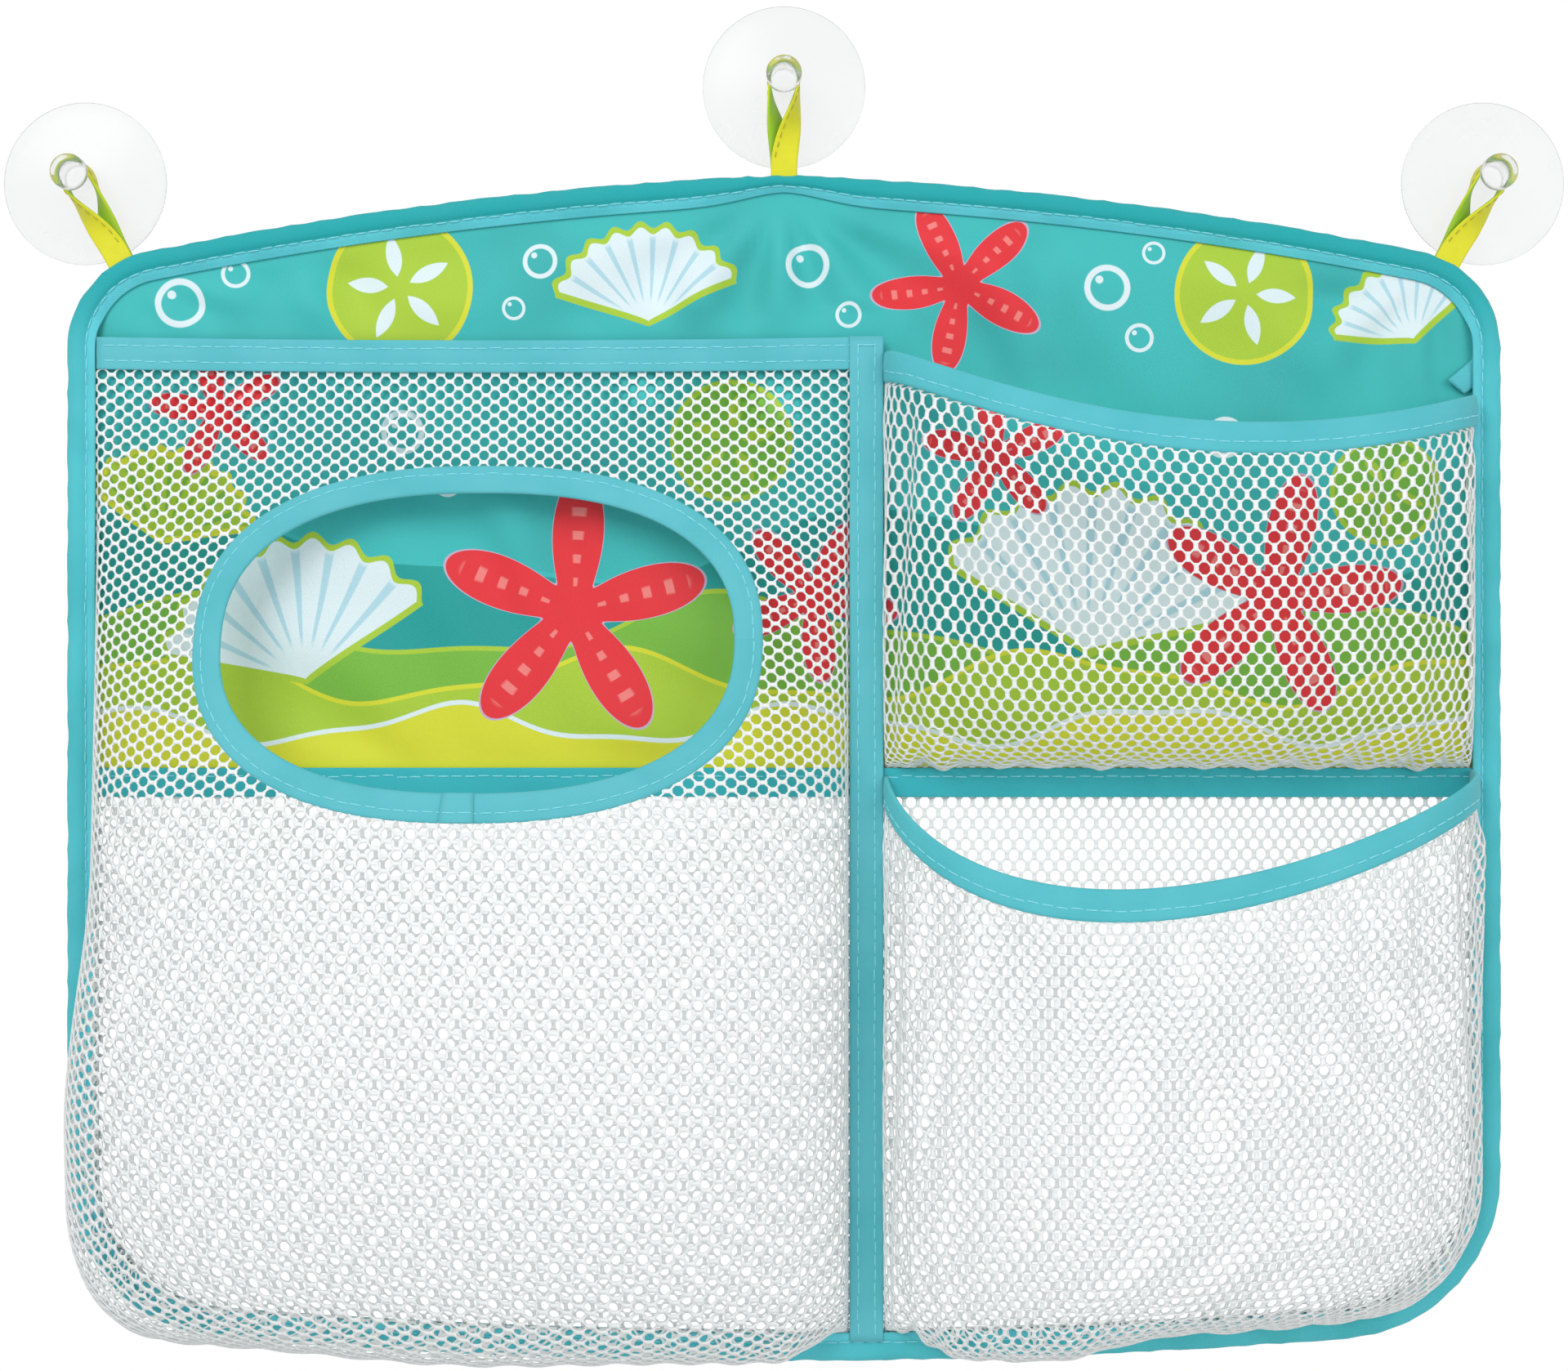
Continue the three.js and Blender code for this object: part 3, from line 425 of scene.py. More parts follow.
class Nodes:
    """The nodes of a material or of the world, with short calls for the ones that the finishes share."""

    def __init__(self, name: str, world: bool = False) -> None:
        """Starts a material, or a world, with one shader and its output."""
        self.owner = (bpy.data.worlds if world else bpy.data.materials).new(name)
        self.owner.use_nodes = True
        self.tree = self.owner.node_tree
        self.tree.nodes.clear()
        self.shader = self.add("Background" if world else "BsdfPrincipled")
        output = self.add("OutputWorld" if world else "OutputMaterial")
        self.tree.links.new(self.shader.outputs[0], output.inputs["Surface"])

    def add(self, kind: str, inputs: dict[str | int, object] | None = None,
            **settings: object) -> bpy.types.Node:
        """A new shader node with its settings and what its sockets are fed."""
        node = self.tree.nodes.new("ShaderNode" + kind)
        for key, value in settings.items():
            setattr(node, key, value)
        for key, value in (inputs or {}).items():
            self.feed(node.inputs[key], value)
        return node

    def feed(self, socket: Socket, value: object) -> None:
        """Links a socket to another, or sets its own value."""
        if isinstance(value, Socket):
            self.tree.links.new(value, socket)
        elif isinstance(value, (tuple, list)) and socket.type == "RGBA":
            socket.default_value = (*value, 1.0)
        else:
            socket.default_value = value

    def set(self, **values: object) -> None:
        """Sets the shader's own sockets, named with underscores."""
        for key, value in values.items():
            self.feed(self.shader.inputs[key.replace("_", " ")], value)

    def cloth(self, colour: object, roughness: float, sheen: float, specular: float,
              sheen_roughness: float = 0.4) -> None:
        """Sets the shader for cloth: its colour, how rough it is, its sheen and its gloss."""
        self.set(Base_Color=colour, Roughness=roughness, Specular_IOR_Level=specular)
        self.set(Sheen_Weight=sheen, Sheen_Roughness=sheen_roughness)

    def math(self, operation: str, *values: object) -> Socket:
        """Result of one piece of arithmetic."""
        return self.add("Math", dict(enumerate(values)), operation=operation).outputs[0]

    def times(self, value: object, factor: object) -> Socket:
        """One value times another."""
        return self.math("MULTIPLY", value, factor)

    def scaled(self, value: object, factor: object, start: object) -> Socket:
        """A value times a factor, counted from a start."""
        return self.math("MULTIPLY_ADD", value, factor, start)

    def split(self, vector: object) -> tuple[Socket, Socket, Socket]:
        """The three parts of a vector."""
        node = self.add("SeparateXYZ", {0: vector})
        return node.outputs["X"], node.outputs["Y"], node.outputs["Z"]

    def fade(self, value: object, low: float, high: float) -> Socket:
        """Share of the way from low to high, eased at both ends."""
        inputs = {"Value": value, "From Min": low, "From Max": high}
        return self.add("MapRange", inputs, interpolation_type="SMOOTHSTEP", clamp=True).outputs["Result"]

    def mix(self, share: object, under: object, over: object) -> Socket:
        """Colour between two others."""
        node = self.add("Mix", {"Factor": share}, data_type="RGBA", clamp_factor=True)
        colours = [socket for socket in node.inputs if socket.type == "RGBA"]
        self.feed(colours[0], under)
        self.feed(colours[1], over)
        return next(socket for socket in node.outputs if socket.type == "RGBA")

    def noise(self, place: object, scale: float, detail: float = 2.0) -> Socket:
        """Even noise from 0 to 1 at a place."""
        inputs = {"Vector": place, "Scale": scale, "Detail": detail}
        return self.add("TexNoise", inputs, noise_dimensions="3D").outputs["Fac"]

    def measures(self) -> tuple[Socket, Socket, Socket]:
        """Texture measures along and across a piece, and both as one vector."""
        both = self.add("UVMap", uv_map="measure").outputs["UV"]
        along, across, _ = self.split(both)
        return along, across, both

    def place(self) -> Socket:
        """Place in the piece's own frame."""
        return self.add("TexCoord").outputs["Object"]

    def bump(self, height: object, distance: float, strength: float) -> None:
        """Gives the shader a bumped normal."""
        node = self.add("Bump", {"Height": height, "Distance": distance, "Strength": strength})
        self.set(Normal=node.outputs["Normal"])


def twill_rib(nodes: Nodes, along: object, across: object, twill: float) -> Socket:
    """Height from 0 to 1 of the slanting ribs of a twill, a twill's length apart along the tape."""
    turn = 2 * math.pi / twill
    slant = nodes.scaled(across, 1.4 * turn, nodes.times(along, turn))
    return nodes.scaled(nodes.math("SINE", slant), 0.5, 0.5)


@dataclass(frozen=True)
class TapeFinish:
    """Twill-woven polyester tape with a soft sheen, with painted shade in a second colour where it is rolled
    over an edge.
    """

    name: str
    colour: Colour
    shade: Colour
    # Colour of the painted shade on the rolled edge; none for a tape without it.
    rolled: Colour | None = None
    rolled_from: float = 0.0034
    rolled_blur: float = 0.0006
    # Height above which the roll's painted shade is full, and how much of it the sides keep.
    top_shade_z: float = -0.085
    shoulder: float = 0.02
    side_share: float = 0.35
    twill: float = 0.0008
    patches: float = 38.0
    patch_shade: float = 0.4
    slubs: float = 1400.0
    rib_shade: float = 0.26
    roughness: float = 0.62

    def rolled_painted_shade(self, nodes: Nodes, across: object) -> object:
        """Colour of the tape before its ribs, with painted shade past the roll, most of all above the
        shoulders.

        Args:
            nodes: the material's nodes.
            across: measure across the tape.

        Returns:
            A colour, or a socket that gives one.
        """
        if self.rolled is None:
            return self.colour
        # Painted shade: the rolled edge is darkened as if in shadow, fully above the shoulders and by
        # side_share lower down.
        past = nodes.fade(across, self.rolled_from - self.rolled_blur, self.rolled_from + self.rolled_blur)
        _, _, height = nodes.split(nodes.place())
        above = nodes.fade(height, self.top_shade_z - self.shoulder, self.top_shade_z + self.shoulder)
        share = nodes.scaled(above, 1.0 - self.side_share, self.side_share)
        return nodes.mix(nodes.times(past, share), self.colour, self.rolled)

    def material(self) -> Material:
        """Makes the material: diagonal ribs, slubs and slow changes of shade."""
        nodes = Nodes(self.name)
        along, across, both = nodes.measures()
        rib = twill_rib(nodes, along, across, self.twill)
        slow = nodes.fade(nodes.noise(both, self.patches), 0.3, 0.75)
        slub = nodes.noise(both, self.slubs)
        cloth = self.rolled_painted_shade(nodes, across)
        patch = nodes.mix(nodes.times(slow, self.patch_shade), cloth, self.shade)
        ribbed = nodes.mix(nodes.times(rib, self.rib_shade), patch, self.shade)
        nodes.cloth(ribbed, self.roughness, sheen=0.15, specular=0.3)
        nodes.bump(nodes.scaled(slub, 0.5, rib), 0.00012, 0.55)
        return nodes.owner


@dataclass(frozen=True)
class LoopFinish:
    """Folded tape, yellow outside, with painted shade in a greener colour on the face that lies against the
    neck.
    """

    name: str
    outside: Colour
    # Colour of the inner face: painted shade, greener and darker than the outside.
    inside: Colour
    width: float
    twill: float = 0.0008

    def material(self) -> Material:
        """Makes the material: the across measure tells the outer face from the inner one."""
        nodes = Nodes(self.name)
        along, across, both = nodes.measures()
        rib = twill_rib(nodes, along, across, self.twill)
        # Painted shade: the inner face, in shadow against the neck, takes the greener colour.
        inner = nodes.fade(across, 0.98 * self.width, 1.02 * self.width)
        face = nodes.mix(inner, self.outside, self.inside)
        slow = nodes.fade(nodes.noise(both, 160.0), 0.3, 0.75)
        deep = tuple(0.78 * c for c in self.outside)
        nodes.cloth(nodes.mix(nodes.times(slow, 0.25), face, deep), 0.55, sheen=0.15, specular=0.35)
        nodes.bump(rib, 0.0001, 0.45)
        return nodes.owner


@dataclass(frozen=True)
class FibreFinish:
    """Polyester filaments, lighter and darker along the strands of a knitted net."""

    name: str
    colour: Colour
    shade: float = 0.92
    grain: float = 2600.0
    detail: float = 3.0
    spread: Pair = (0.3, 0.7)
    roughness: float = 0.5
    sheen_roughness: float = 0.35
    specular: float = 0.35
    relief: float = 0.00015
    strength: float = 0.5

    def material(self) -> Material:
        """Makes the material."""
        nodes = Nodes(self.name)
        filament = nodes.noise(nodes.place(), self.grain, self.detail)
        dark = tuple(self.shade * c for c in self.colour)
        mixed = nodes.mix(nodes.fade(filament, *self.spread), dark, self.colour)
        nodes.cloth(mixed, self.roughness, 0.2, self.specular, self.sheen_roughness)
        nodes.bump(filament, self.relief, self.strength)
        return nodes.owner


@dataclass(frozen=True)
class ThreadFinish(FibreFinish):
    """Sewing thread, two plies twisted together."""

    shade: float = 0.8
    grain: float = 3200.0
    detail: float = 1.0
    spread: Pair = (0.35, 0.65)
    roughness: float = 0.42
    sheen_roughness: float = 0.5
    specular: float = 0.4
    relief: float = 0.0001
    strength: float = 0.4


@dataclass(frozen=True)
class VinylFinish:
    """Clear soft vinyl, moulded, with a faint grey body and slight flow marks."""

    name: str
    colour: Colour

    def material(self) -> Material:
        """Makes the material."""
        nodes = Nodes(self.name)
        place = nodes.place()
        flow = nodes.noise(place, 45.0, 2.0)
        nodes.set(Base_Color=self.colour, Transmission_Weight=0.94, IOR=1.22, Specular_IOR_Level=0.35)
        nodes.set(Roughness=nodes.scaled(nodes.fade(flow, 0.35, 0.8), 0.12, 0.2))
        nodes.bump(flow, 0.0006, 0.25)
        return nodes.owner


class Motif(Protocol):
    """A figure of the print."""

    def paint(self, nodes: Nodes, x: object, z: object, under: object) -> Socket:
        """Colour with the figure laid over what is under it.

        Args:
            nodes: the material's nodes.
            x: place across the cloth.
            z: place up the cloth.
            under: colour under the figure.

        Returns:
            The colour.
        """


def polar(nodes: Nodes, x: object, z: object, centre: Pair) -> tuple[object, object]:
    """Distance from a centre and angle about it, as sockets."""
    right = nodes.math("SUBTRACT", x, centre[0])
    up = nodes.math("SUBTRACT", z, centre[1])
    squares = nodes.math("ADD", nodes.times(right, right), nodes.times(up, up))
    return nodes.math("SQRT", squares), nodes.math("ARCTAN2", up, right)


def filled_figure(nodes: Nodes, inside: object, edge_width: float, under: object, edge: Colour,
                  fill: Colour) -> Socket:
    """Colour with an edged figure laid over what is under it.

    Args:
        nodes: the material's nodes.
        inside: distance in from the figure's outline.
        edge_width: width of the line along the outline.
        under: colour under the figure.
        edge: colour of the line.
        fill: colour inside the line.

    Returns:
        The colour.
    """
    blur = 0.0002
    edged = nodes.mix(nodes.fade(inside, -blur, blur), under, edge)
    return nodes.mix(nodes.fade(inside, edge_width - blur, edge_width + blur), edged, fill)


@dataclass(frozen=True)
class Wave:
    """A rolling band of colour that fills everything below its crest."""

    height: float
    swing: float
    length: float
    start: float
    colour: Colour
    crest: Colour
    crest_width: float = 0.0016

    def paint(self, nodes: Nodes, x: object, z: object, under: object) -> Socket:
        """Colour with the band laid over what is under it."""
        turn = 2 * math.pi / self.length
        roll = nodes.math("SINE", nodes.scaled(x, turn, self.start))
        ripple = nodes.math("SINE", nodes.scaled(x, 2.3 * turn, 1.7 * self.start))
        crest = nodes.scaled(roll, self.swing, self.height)
        crest = nodes.scaled(ripple, 0.3 * self.swing, crest)
        below = nodes.math("SUBTRACT", crest, z)
        return filled_figure(nodes, below, self.crest_width, under, self.crest, self.colour)


@dataclass(frozen=True)
class Starfish:
    """A five-armed star with rounded arms and a row of dots along each."""

    centre: Pair
    reach: float
    turn: float
    colour: Colour
    edge: Colour
    dots: Colour
    waist: float = 0.62
    edge_width: float = 0.0008

    def paint(self, nodes: Nodes, x: object, z: object, under: object) -> Socket:
        """Colour with the star laid over what is under it."""
        away, angle = polar(nodes, x, z, self.centre)
        arms = nodes.math("COSINE", nodes.scaled(angle, 5.0, -5 * self.turn))
        swing = self.reach * (1 - self.waist)
        limit = nodes.scaled(arms, swing, self.reach * self.waist)
        inside = nodes.math("SUBTRACT", limit, away)
        filled = filled_figure(nodes, inside, self.edge_width, under, self.edge, self.colour)
        beads = nodes.math("SINE", nodes.times(away, 2 * math.pi / (0.17 * self.reach)))
        spine = nodes.times(nodes.fade(arms, 0.9, 0.97), nodes.fade(beads, 0.25, 0.55))
        near = nodes.times(nodes.fade(away, 0.14 * self.reach, 0.2 * self.reach),
                          nodes.fade(inside, 0.1 * self.reach, 0.16 * self.reach))
        return nodes.mix(nodes.times(spine, near), filled, self.dots)


@dataclass(frozen=True)
class Scallop:
    """A fan-shaped shell with ribs and a scalloped edge."""

    centre: Pair
    reach: float
    turn: float
    colour: Colour
    rib: Colour
    edge: Colour
    opening: float = math.radians(68)
    ribs: float = 9.0
    edge_width: float = 0.0022

    def paint(self, nodes: Nodes, x: object, z: object, under: object) -> Socket:
        """Colour with the shell laid over what is under it."""
        away, angle = polar(nodes, x, z, self.centre)
        off = nodes.math("WRAP", nodes.math("SUBTRACT", angle, self.turn), math.pi, -math.pi)
        fan = nodes.math("COSINE", nodes.times(off, self.ribs * math.pi / self.opening))
        limit = nodes.scaled(fan, 0.035 * self.reach, 0.965 * self.reach)
        radial = nodes.math("SUBTRACT", limit, away)
        spread = nodes.math("SUBTRACT", self.opening, nodes.math("ABSOLUTE", off))
        sideways = nodes.times(spread, away)
        inside = nodes.math("MINIMUM", radial, sideways)
        filled = filled_figure(nodes, inside, self.edge_width, under, self.edge, self.colour)
        groove = nodes.times(nodes.fade(fan, -0.55, -0.85),
                            nodes.fade(away, 0.22 * self.reach, 0.34 * self.reach))
        shown = nodes.times(groove, nodes.fade(inside, self.edge_width, 2 * self.edge_width))
        return nodes.mix(shown, filled, self.rib)


@dataclass(frozen=True)
class SandDollar:
    """A round disc with five pointed petals and a lighter edge."""

    centre: Pair
    reach: float
    turn: float
    colour: Colour
    petal: Colour
    edge: Colour
    edge_width: float = 0.0018

    def paint(self, nodes: Nodes, x: object, z: object, under: object) -> Socket:
        """Colour with the disc laid over what is under it."""
        away, angle = polar(nodes, x, z, self.centre)
        inside = nodes.math("SUBTRACT", self.reach, away)
        filled = filled_figure(nodes, inside, self.edge_width, under, self.edge, self.colour)
        arms = nodes.math("COSINE", nodes.scaled(angle, 5.0, -5 * self.turn))
        off = nodes.times(nodes.math("ARCCOSINE", arms), 0.2)
        half, wide = 0.29 * self.reach, 0.105 * self.reach
        along = nodes.scaled(away, 1 / half, -0.45 * self.reach / half)
        curve = nodes.scaled(nodes.times(along, along), -wide, wide)
        within = nodes.math("SUBTRACT", curve, nodes.times(off, away))
        return nodes.mix(nodes.fade(within, -0.0002, 0.0002), filled, self.petal)


@dataclass(frozen=True)
class Bubble:
    """A ring with a small glint."""

    centre: Pair
    reach: float
    colour: Colour

    def paint(self, nodes: Nodes, x: object, z: object, under: object) -> Socket:
        """Colour with the ring laid over what is under it."""
        away, _ = polar(nodes, x, z, self.centre)
        off = nodes.math("ABSOLUTE", nodes.math("SUBTRACT", away, 0.86 * self.reach))
        ringed = nodes.mix(nodes.fade(off, 0.16 * self.reach, 0.1 * self.reach), under, self.colour)
        glint = (self.centre[0] - 0.34 * self.reach, self.centre[1] + 0.34 * self.reach)
        near, _ = polar(nodes, x, z, glint)
        return nodes.mix(nodes.fade(near, 0.2 * self.reach, 0.14 * self.reach), ringed, self.colour)


TEAL = hex_colour("40BEBD")
DEEP_TEAL = hex_colour("239E9A")
TAPE_TEAL = hex_colour("66C6D2")
TAPE_SHADE = hex_colour("3FB0B9")
EDGE_TEAL = hex_colour("68D8E6")
EDGE_SHADE = hex_colour("2FA9AE")
# Painted shade for the binding's rolled edge, darker than the tape itself.
PAINTED_ROLL_SHADE = hex_colour("16ABB0")
# Painted shade: the centre band's tape is darker than the other tapes, as if shaded by the pockets above it.
PAINTED_SHADE_BAND_TEAL = hex_colour("3DBCC7")
PAINTED_SHADE_BAND_DARK = hex_colour("27A7B2")
LIP_TEAL = hex_colour("5EC6D1")
LIP_SHADE = hex_colour("3BB0BA")
THREAD_TEAL = hex_colour("8AE8F4")
RED = hex_colour("EA2733")
ROSE_EDGE = hex_colour("C9B3CF")
LIME = hex_colour("AFCF33")
LEAF = hex_colour("7DBB3C")
YELLOW = hex_colour("DDDF2C")
PALE = hex_colour("E4F3F8")
SHELL_RIB = hex_colour("B7DDEA")
STAR_DOT = hex_colour("F7827F")
NET_WHITE = hex_colour("F7FAFA")
LOOP_YELLOW = hex_colour("E2DF25")
# Painted shade for the loop's inner face, which lies in shadow against the neck.
LOOP_INNER_PAINTED_SHADE = hex_colour("9CCB32")
LOOP_THREAD = hex_colour("B9B51E")
VINYL_GREY = hex_colour("F5F6F6")


@dataclass(frozen=True)
class PrintFinish:
    """Plain-woven cloth, printed on its face with waves, shells, starfish and bubbles."""

    name: str
    ground: Colour
    motifs: tuple[Motif, ...]
    weave: float = 0.0007
    reverse: float = 0.62

    def material(self) -> Material:
        """Makes the material: the print on the face, and its paler shadow on the reverse."""
        nodes = Nodes(self.name)
        place = nodes.place()
        x, _, z = nodes.split(place)
        shade = tuple(0.86 * c for c in self.ground)
        colour = nodes.mix(nodes.fade(nodes.noise(place, 22.0), 0.3, 0.75), self.ground, shade)
        for motif in self.motifs:
            colour = motif.paint(nodes, x, z, colour)
        _, facing, _ = nodes.split(nodes.add("TexCoord").outputs["Normal"])
        reverse = nodes.times(nodes.fade(facing, -0.05, 0.05), self.reverse)
        turn = 2 * math.pi / self.weave
        warp = nodes.math("SINE", nodes.times(x, turn))
        weft = nodes.math("SINE", nodes.times(z, turn))
        crossing = nodes.scaled(nodes.times(warp, weft), 0.5, 0.5)
        woven = nodes.mix(nodes.times(crossing, 0.1), colour, DEEP_TEAL)
        nodes.cloth(nodes.mix(reverse, woven, PALE), 0.6, sheen=0.12, specular=0.3)
        nodes.bump(crossing, 0.00008, 0.4)
        return nodes.owner


def sea_print() -> PrintFinish:
    """The print: rolling bands at the foot, then discs, shells, starfish and bubbles."""
    waves = (
        Wave(-0.158, 0.012, 0.260, 0.4, DEEP_TEAL, TEAL),
        Wave(-0.186, 0.010, 0.190, 2.1, LEAF, LIME),
        Wave(-0.203, 0.008, 0.150, 4.0, LIME, YELLOW),
        Wave(-0.219, 0.006, 0.120, 1.2, YELLOW, PALE),
    )
    discs = (
        SandDollar((-0.131, -0.071), 0.025, 0.5, LIME, PALE, YELLOW),
        SandDollar((0.157, -0.073), 0.024, 1.2, LIME, PALE, YELLOW),
        SandDollar((-0.018, -0.123), 0.021, 0.2, LEAF, LIME, LIME),
        SandDollar((0.205, -0.140), 0.019, 0.9, LEAF, LIME, LIME),
    )
    shells = (
        Scallop((-0.163, -0.206), 0.052, math.radians(102), PALE, SHELL_RIB, LIME),
        Scallop((0.103, -0.196), 0.060, math.radians(80), PALE, SHELL_RIB, LIME),
        Scallop((-0.046, -0.084), 0.036, math.radians(95), PALE, SHELL_RIB, LIME),
        Scallop((-0.213, -0.158), 0.034, math.radians(75), LIME, LEAF, YELLOW),
        Scallop((0.215, -0.090), 0.030, math.radians(110), PALE, SHELL_RIB, LIME),
    )
    star_places = (
        ((-0.072, -0.181), 0.047, 0.25),
        ((0.060, -0.070), 0.031, 0.75),
        ((0.010, -0.176), 0.030, 1.05),
        ((-0.193, -0.113), 0.024, 0.5),
        ((0.168, -0.176), 0.043, 0.1),
        ((0.072, -0.128), 0.026, 0.4),
    )
    bubble_places = (
        ((-0.206, -0.076), 0.0085),
        ((-0.187, -0.066), 0.0050),
        ((-0.083, -0.062), 0.0060),
        ((-0.092, -0.078), 0.0040),
        ((0.008, -0.063), 0.0075),
        ((0.022, -0.080), 0.0045),
        ((0.110, -0.071), 0.0080),
        ((0.121, -0.088), 0.0050),
        ((0.126, -0.059), 0.0040),
        ((-0.130, -0.120), 0.0075),
        ((-0.115, -0.137), 0.0050),
        ((0.150, -0.122), 0.0070),
    )
    stars = [Starfish(*place, RED, ROSE_EDGE, STAR_DOT) for place in star_places]
    bubbles = [Bubble(*place, PALE) for place in bubble_places]
    return PrintFinish("printed_polyester", TEAL, (*waves, *discs, *shells, *stars, *bubbles))


def dress(piece: Piece, material: Material, slot: Slot, *nodes: str) -> Piece:
    """Gives a piece its material, and lets it stand for its nodes of the frame.

    Args:
        piece: the new piece.
        material: its material.
        slot: the record's slot for it, not used.
        nodes: nodes of the frame that it stands for.

    Returns:
        The piece.
    """
    piece.data.materials.append(material)
    if nodes:
        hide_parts(*nodes)
    return piece


def ride(piece: Piece, body: Body) -> Piece:
    """Lets a piece move with a body and reports it."""
    LOG.info("%s rides on %s", piece.name, body.value)
    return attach(piece, body.value)


def blend(piece: Piece, fixed: Body, moving: Body) -> Piece:
    """Bakes a piece's place into its mesh, and reports the two bodies named for it."""
    LOG.info("%s bends from %s to %s", piece.name, fixed.value, moving.value)
    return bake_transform(piece)


@dataclass
class Ribbon:
    """A length of tape between two edges: rounded at them, crowned, and pinched along its stitches."""

    edge_a: Array
    edge_b: Array
    thickness: float
    crown: float = 0.0002
    groove: float = 0.0002
    groove_width: float = 0.0009
    edge_round: float = 0.6
    stitched_at: tuple[float, ...] = ()
    closed: bool = False
    normals: Array | None = None
    samples: int = 15

    @property
    def width(self) -> float:
        """Mean width of the tape."""
        return float(np.linalg.norm(self.edge_b - self.edge_a, axis=1).mean())

    def facing(self) -> Array:
        """Outward direction at each station, as given or square to the tape and towards the front."""
        if self.normals is not None:
            return self.normals
        middle = (self.edge_a + self.edge_b) / 2
        if self.closed:
            along = np.roll(middle, -1, axis=0) - np.roll(middle, 1, axis=0)
        else:
            along = np.gradient(middle, axis=0)
        normal = unit(np.cross(along, self.edge_b - self.edge_a))
        return normal * np.sign(np.sum(normal * FORWARD))

    def height(self, share: Array) -> Array:
        """Height of the front face above the middle of the tape at a share across."""
        width = self.width / self.groove_width
        pinch = sum(np.exp(-((share - s) * width) ** 2) for s in self.stitched_at)
        return self.thickness / 2 + self.crown * bow(share) - self.groove * pinch

    def line(self, share: float) -> tuple[Array, Array]:
        """A line along the front face, and the outward direction on it.

        Args:
            share: where it lies across the tape, 0 to 1.

        Returns:
            Points and directions.
        """
        normal = self.facing()
        middle = self.edge_a * (1 - share) + self.edge_b * share
        return middle + normal * float(self.height(np.array(share))), normal

    def shape(self) -> Shape:
        """The tape as a closed body, with its length and the distance round it as texture measures."""
        bend = np.linspace(0, np.pi, self.samples)
        share = (1 - np.cos(bend)) / 2
        width = self.width
        radius = min(0.5, self.edge_round * self.thickness / width)
        near = np.clip(np.minimum(share, 1 - share) / radius, 0, 1)
        rounding = np.sqrt(1 - (1 - near) ** 2)
        front = rounding * self.height(share)
        back = -rounding * self.thickness / 2
        across = np.concatenate([share, share[-2:0:-1]])
        lift = np.concatenate([front, back[-2:0:-1]])
        normal = self.facing()
        middle = self.edge_a[:, None] * (1 - across[:, None]) + self.edge_b[:, None] * across[:, None]
        points = middle + normal[:, None] * lift[:, None]
        track = (self.edge_a + self.edge_b) / 2
        if self.closed:
            track = np.concatenate([track, track[:1]])
        round_it = np.concatenate([share, 2 - share[-2:0:-1], [2.0]]) * width
        return grid_shape(points, lengths_along(track), round_it, self.closed, True, not self.closed)


@dataclass
class Stitching:
    """Rows of stitches: each one a short length of thread that dips into the cloth at its ends."""

    length: float = 0.0040
    gap: float = 0.0006
    radius: float = 0.00027
    places: tuple[float, ...] = (-1.0, -0.8, 0.0, 0.8, 1.0)
    sides: int = 6
    wander: float = 0.00012
    proud: float = 0.55
    sink: float = 1.35
    taper: float = 0.45

    def __post_init__(self) -> None:
        """Starts with no stitches and a fixed seed."""
        self.points: list[Array] = []
        self.random = np.random.default_rng(7)

    def row(self, line: Array, normals: Array, closed: bool = False, clear: float = 0.001) -> None:
        """Sews one row along a line.

        Args:
            line: points of the row on the cloth.
            normals: outward direction at each point.
            closed: whether the row runs back into its start.
            clear: length left bare at both ends of an open row.
        """
        if closed:
            line = np.concatenate([line, line[:1]])
            normals = np.concatenate([normals, normals[:1]])
        along = lengths_along(line)
        margin = 0.0 if closed else clear
        usable = along[-1] - 2 * margin
        count = max(1, int(usable / (self.length + self.gap)))
        pitch = usable / count
        middles = margin + pitch * (np.arange(count) + 0.5)
        middles = middles + self.random.uniform(-1, 1, count) * self.wander
        half = (pitch - self.gap) / 2
        steps = np.array(self.places)
        at = middles[:, None] + steps * half
        place, up = read_line(line, along, at), unit(read_line(normals, along, at))
        forward = unit(place[:, -1] - place[:, 0])[:, None]
        sideways = unit(np.cross(forward, up))
        place = place + sideways[:, :1] * self.random.normal(0, self.wander, (count, 1, 1))
        dip = self.radius * (self.proud - self.sink * np.abs(steps) ** 8)
        swell = self.radius * (1 - self.taper * np.abs(steps) ** 4)
        turns = np.arange(self.sides) * 2 * np.pi / self.sides
        ring = (sideways[:, :, None] * np.cos(turns)[:, None] + up[:, :, None] * np.sin(turns)[:, None])
        core = place + up * dip[:, None]
        self.points.append(core[:, :, None] + ring * swell[:, None, None])

    def build(self, name: str) -> Piece:
        """Makes one object of every row.

        Args:
            name: name of the object.

        Returns:
            The object.
        """
        rings = np.concatenate(self.points)
        count = len(rings)
        size = len(self.places) * self.sides
        faces: list[tuple[int, ...]] = []
        for k in range(len(self.places) - 1):
            for s in range(self.sides):
                after = (s + 1) % self.sides
                a, b = k * self.sides, (k + 1) * self.sides
                faces.append((a + s, a + after, b + after, b + s))
        faces.append(tuple(reversed(range(self.sides))))
        faces.append(tuple(range(size - self.sides, size)))
        every = [tuple(n * size + i for i in face) for n in range(count) for face in faces]
        return Shape(rings.reshape(-1, 3), every).build(name)


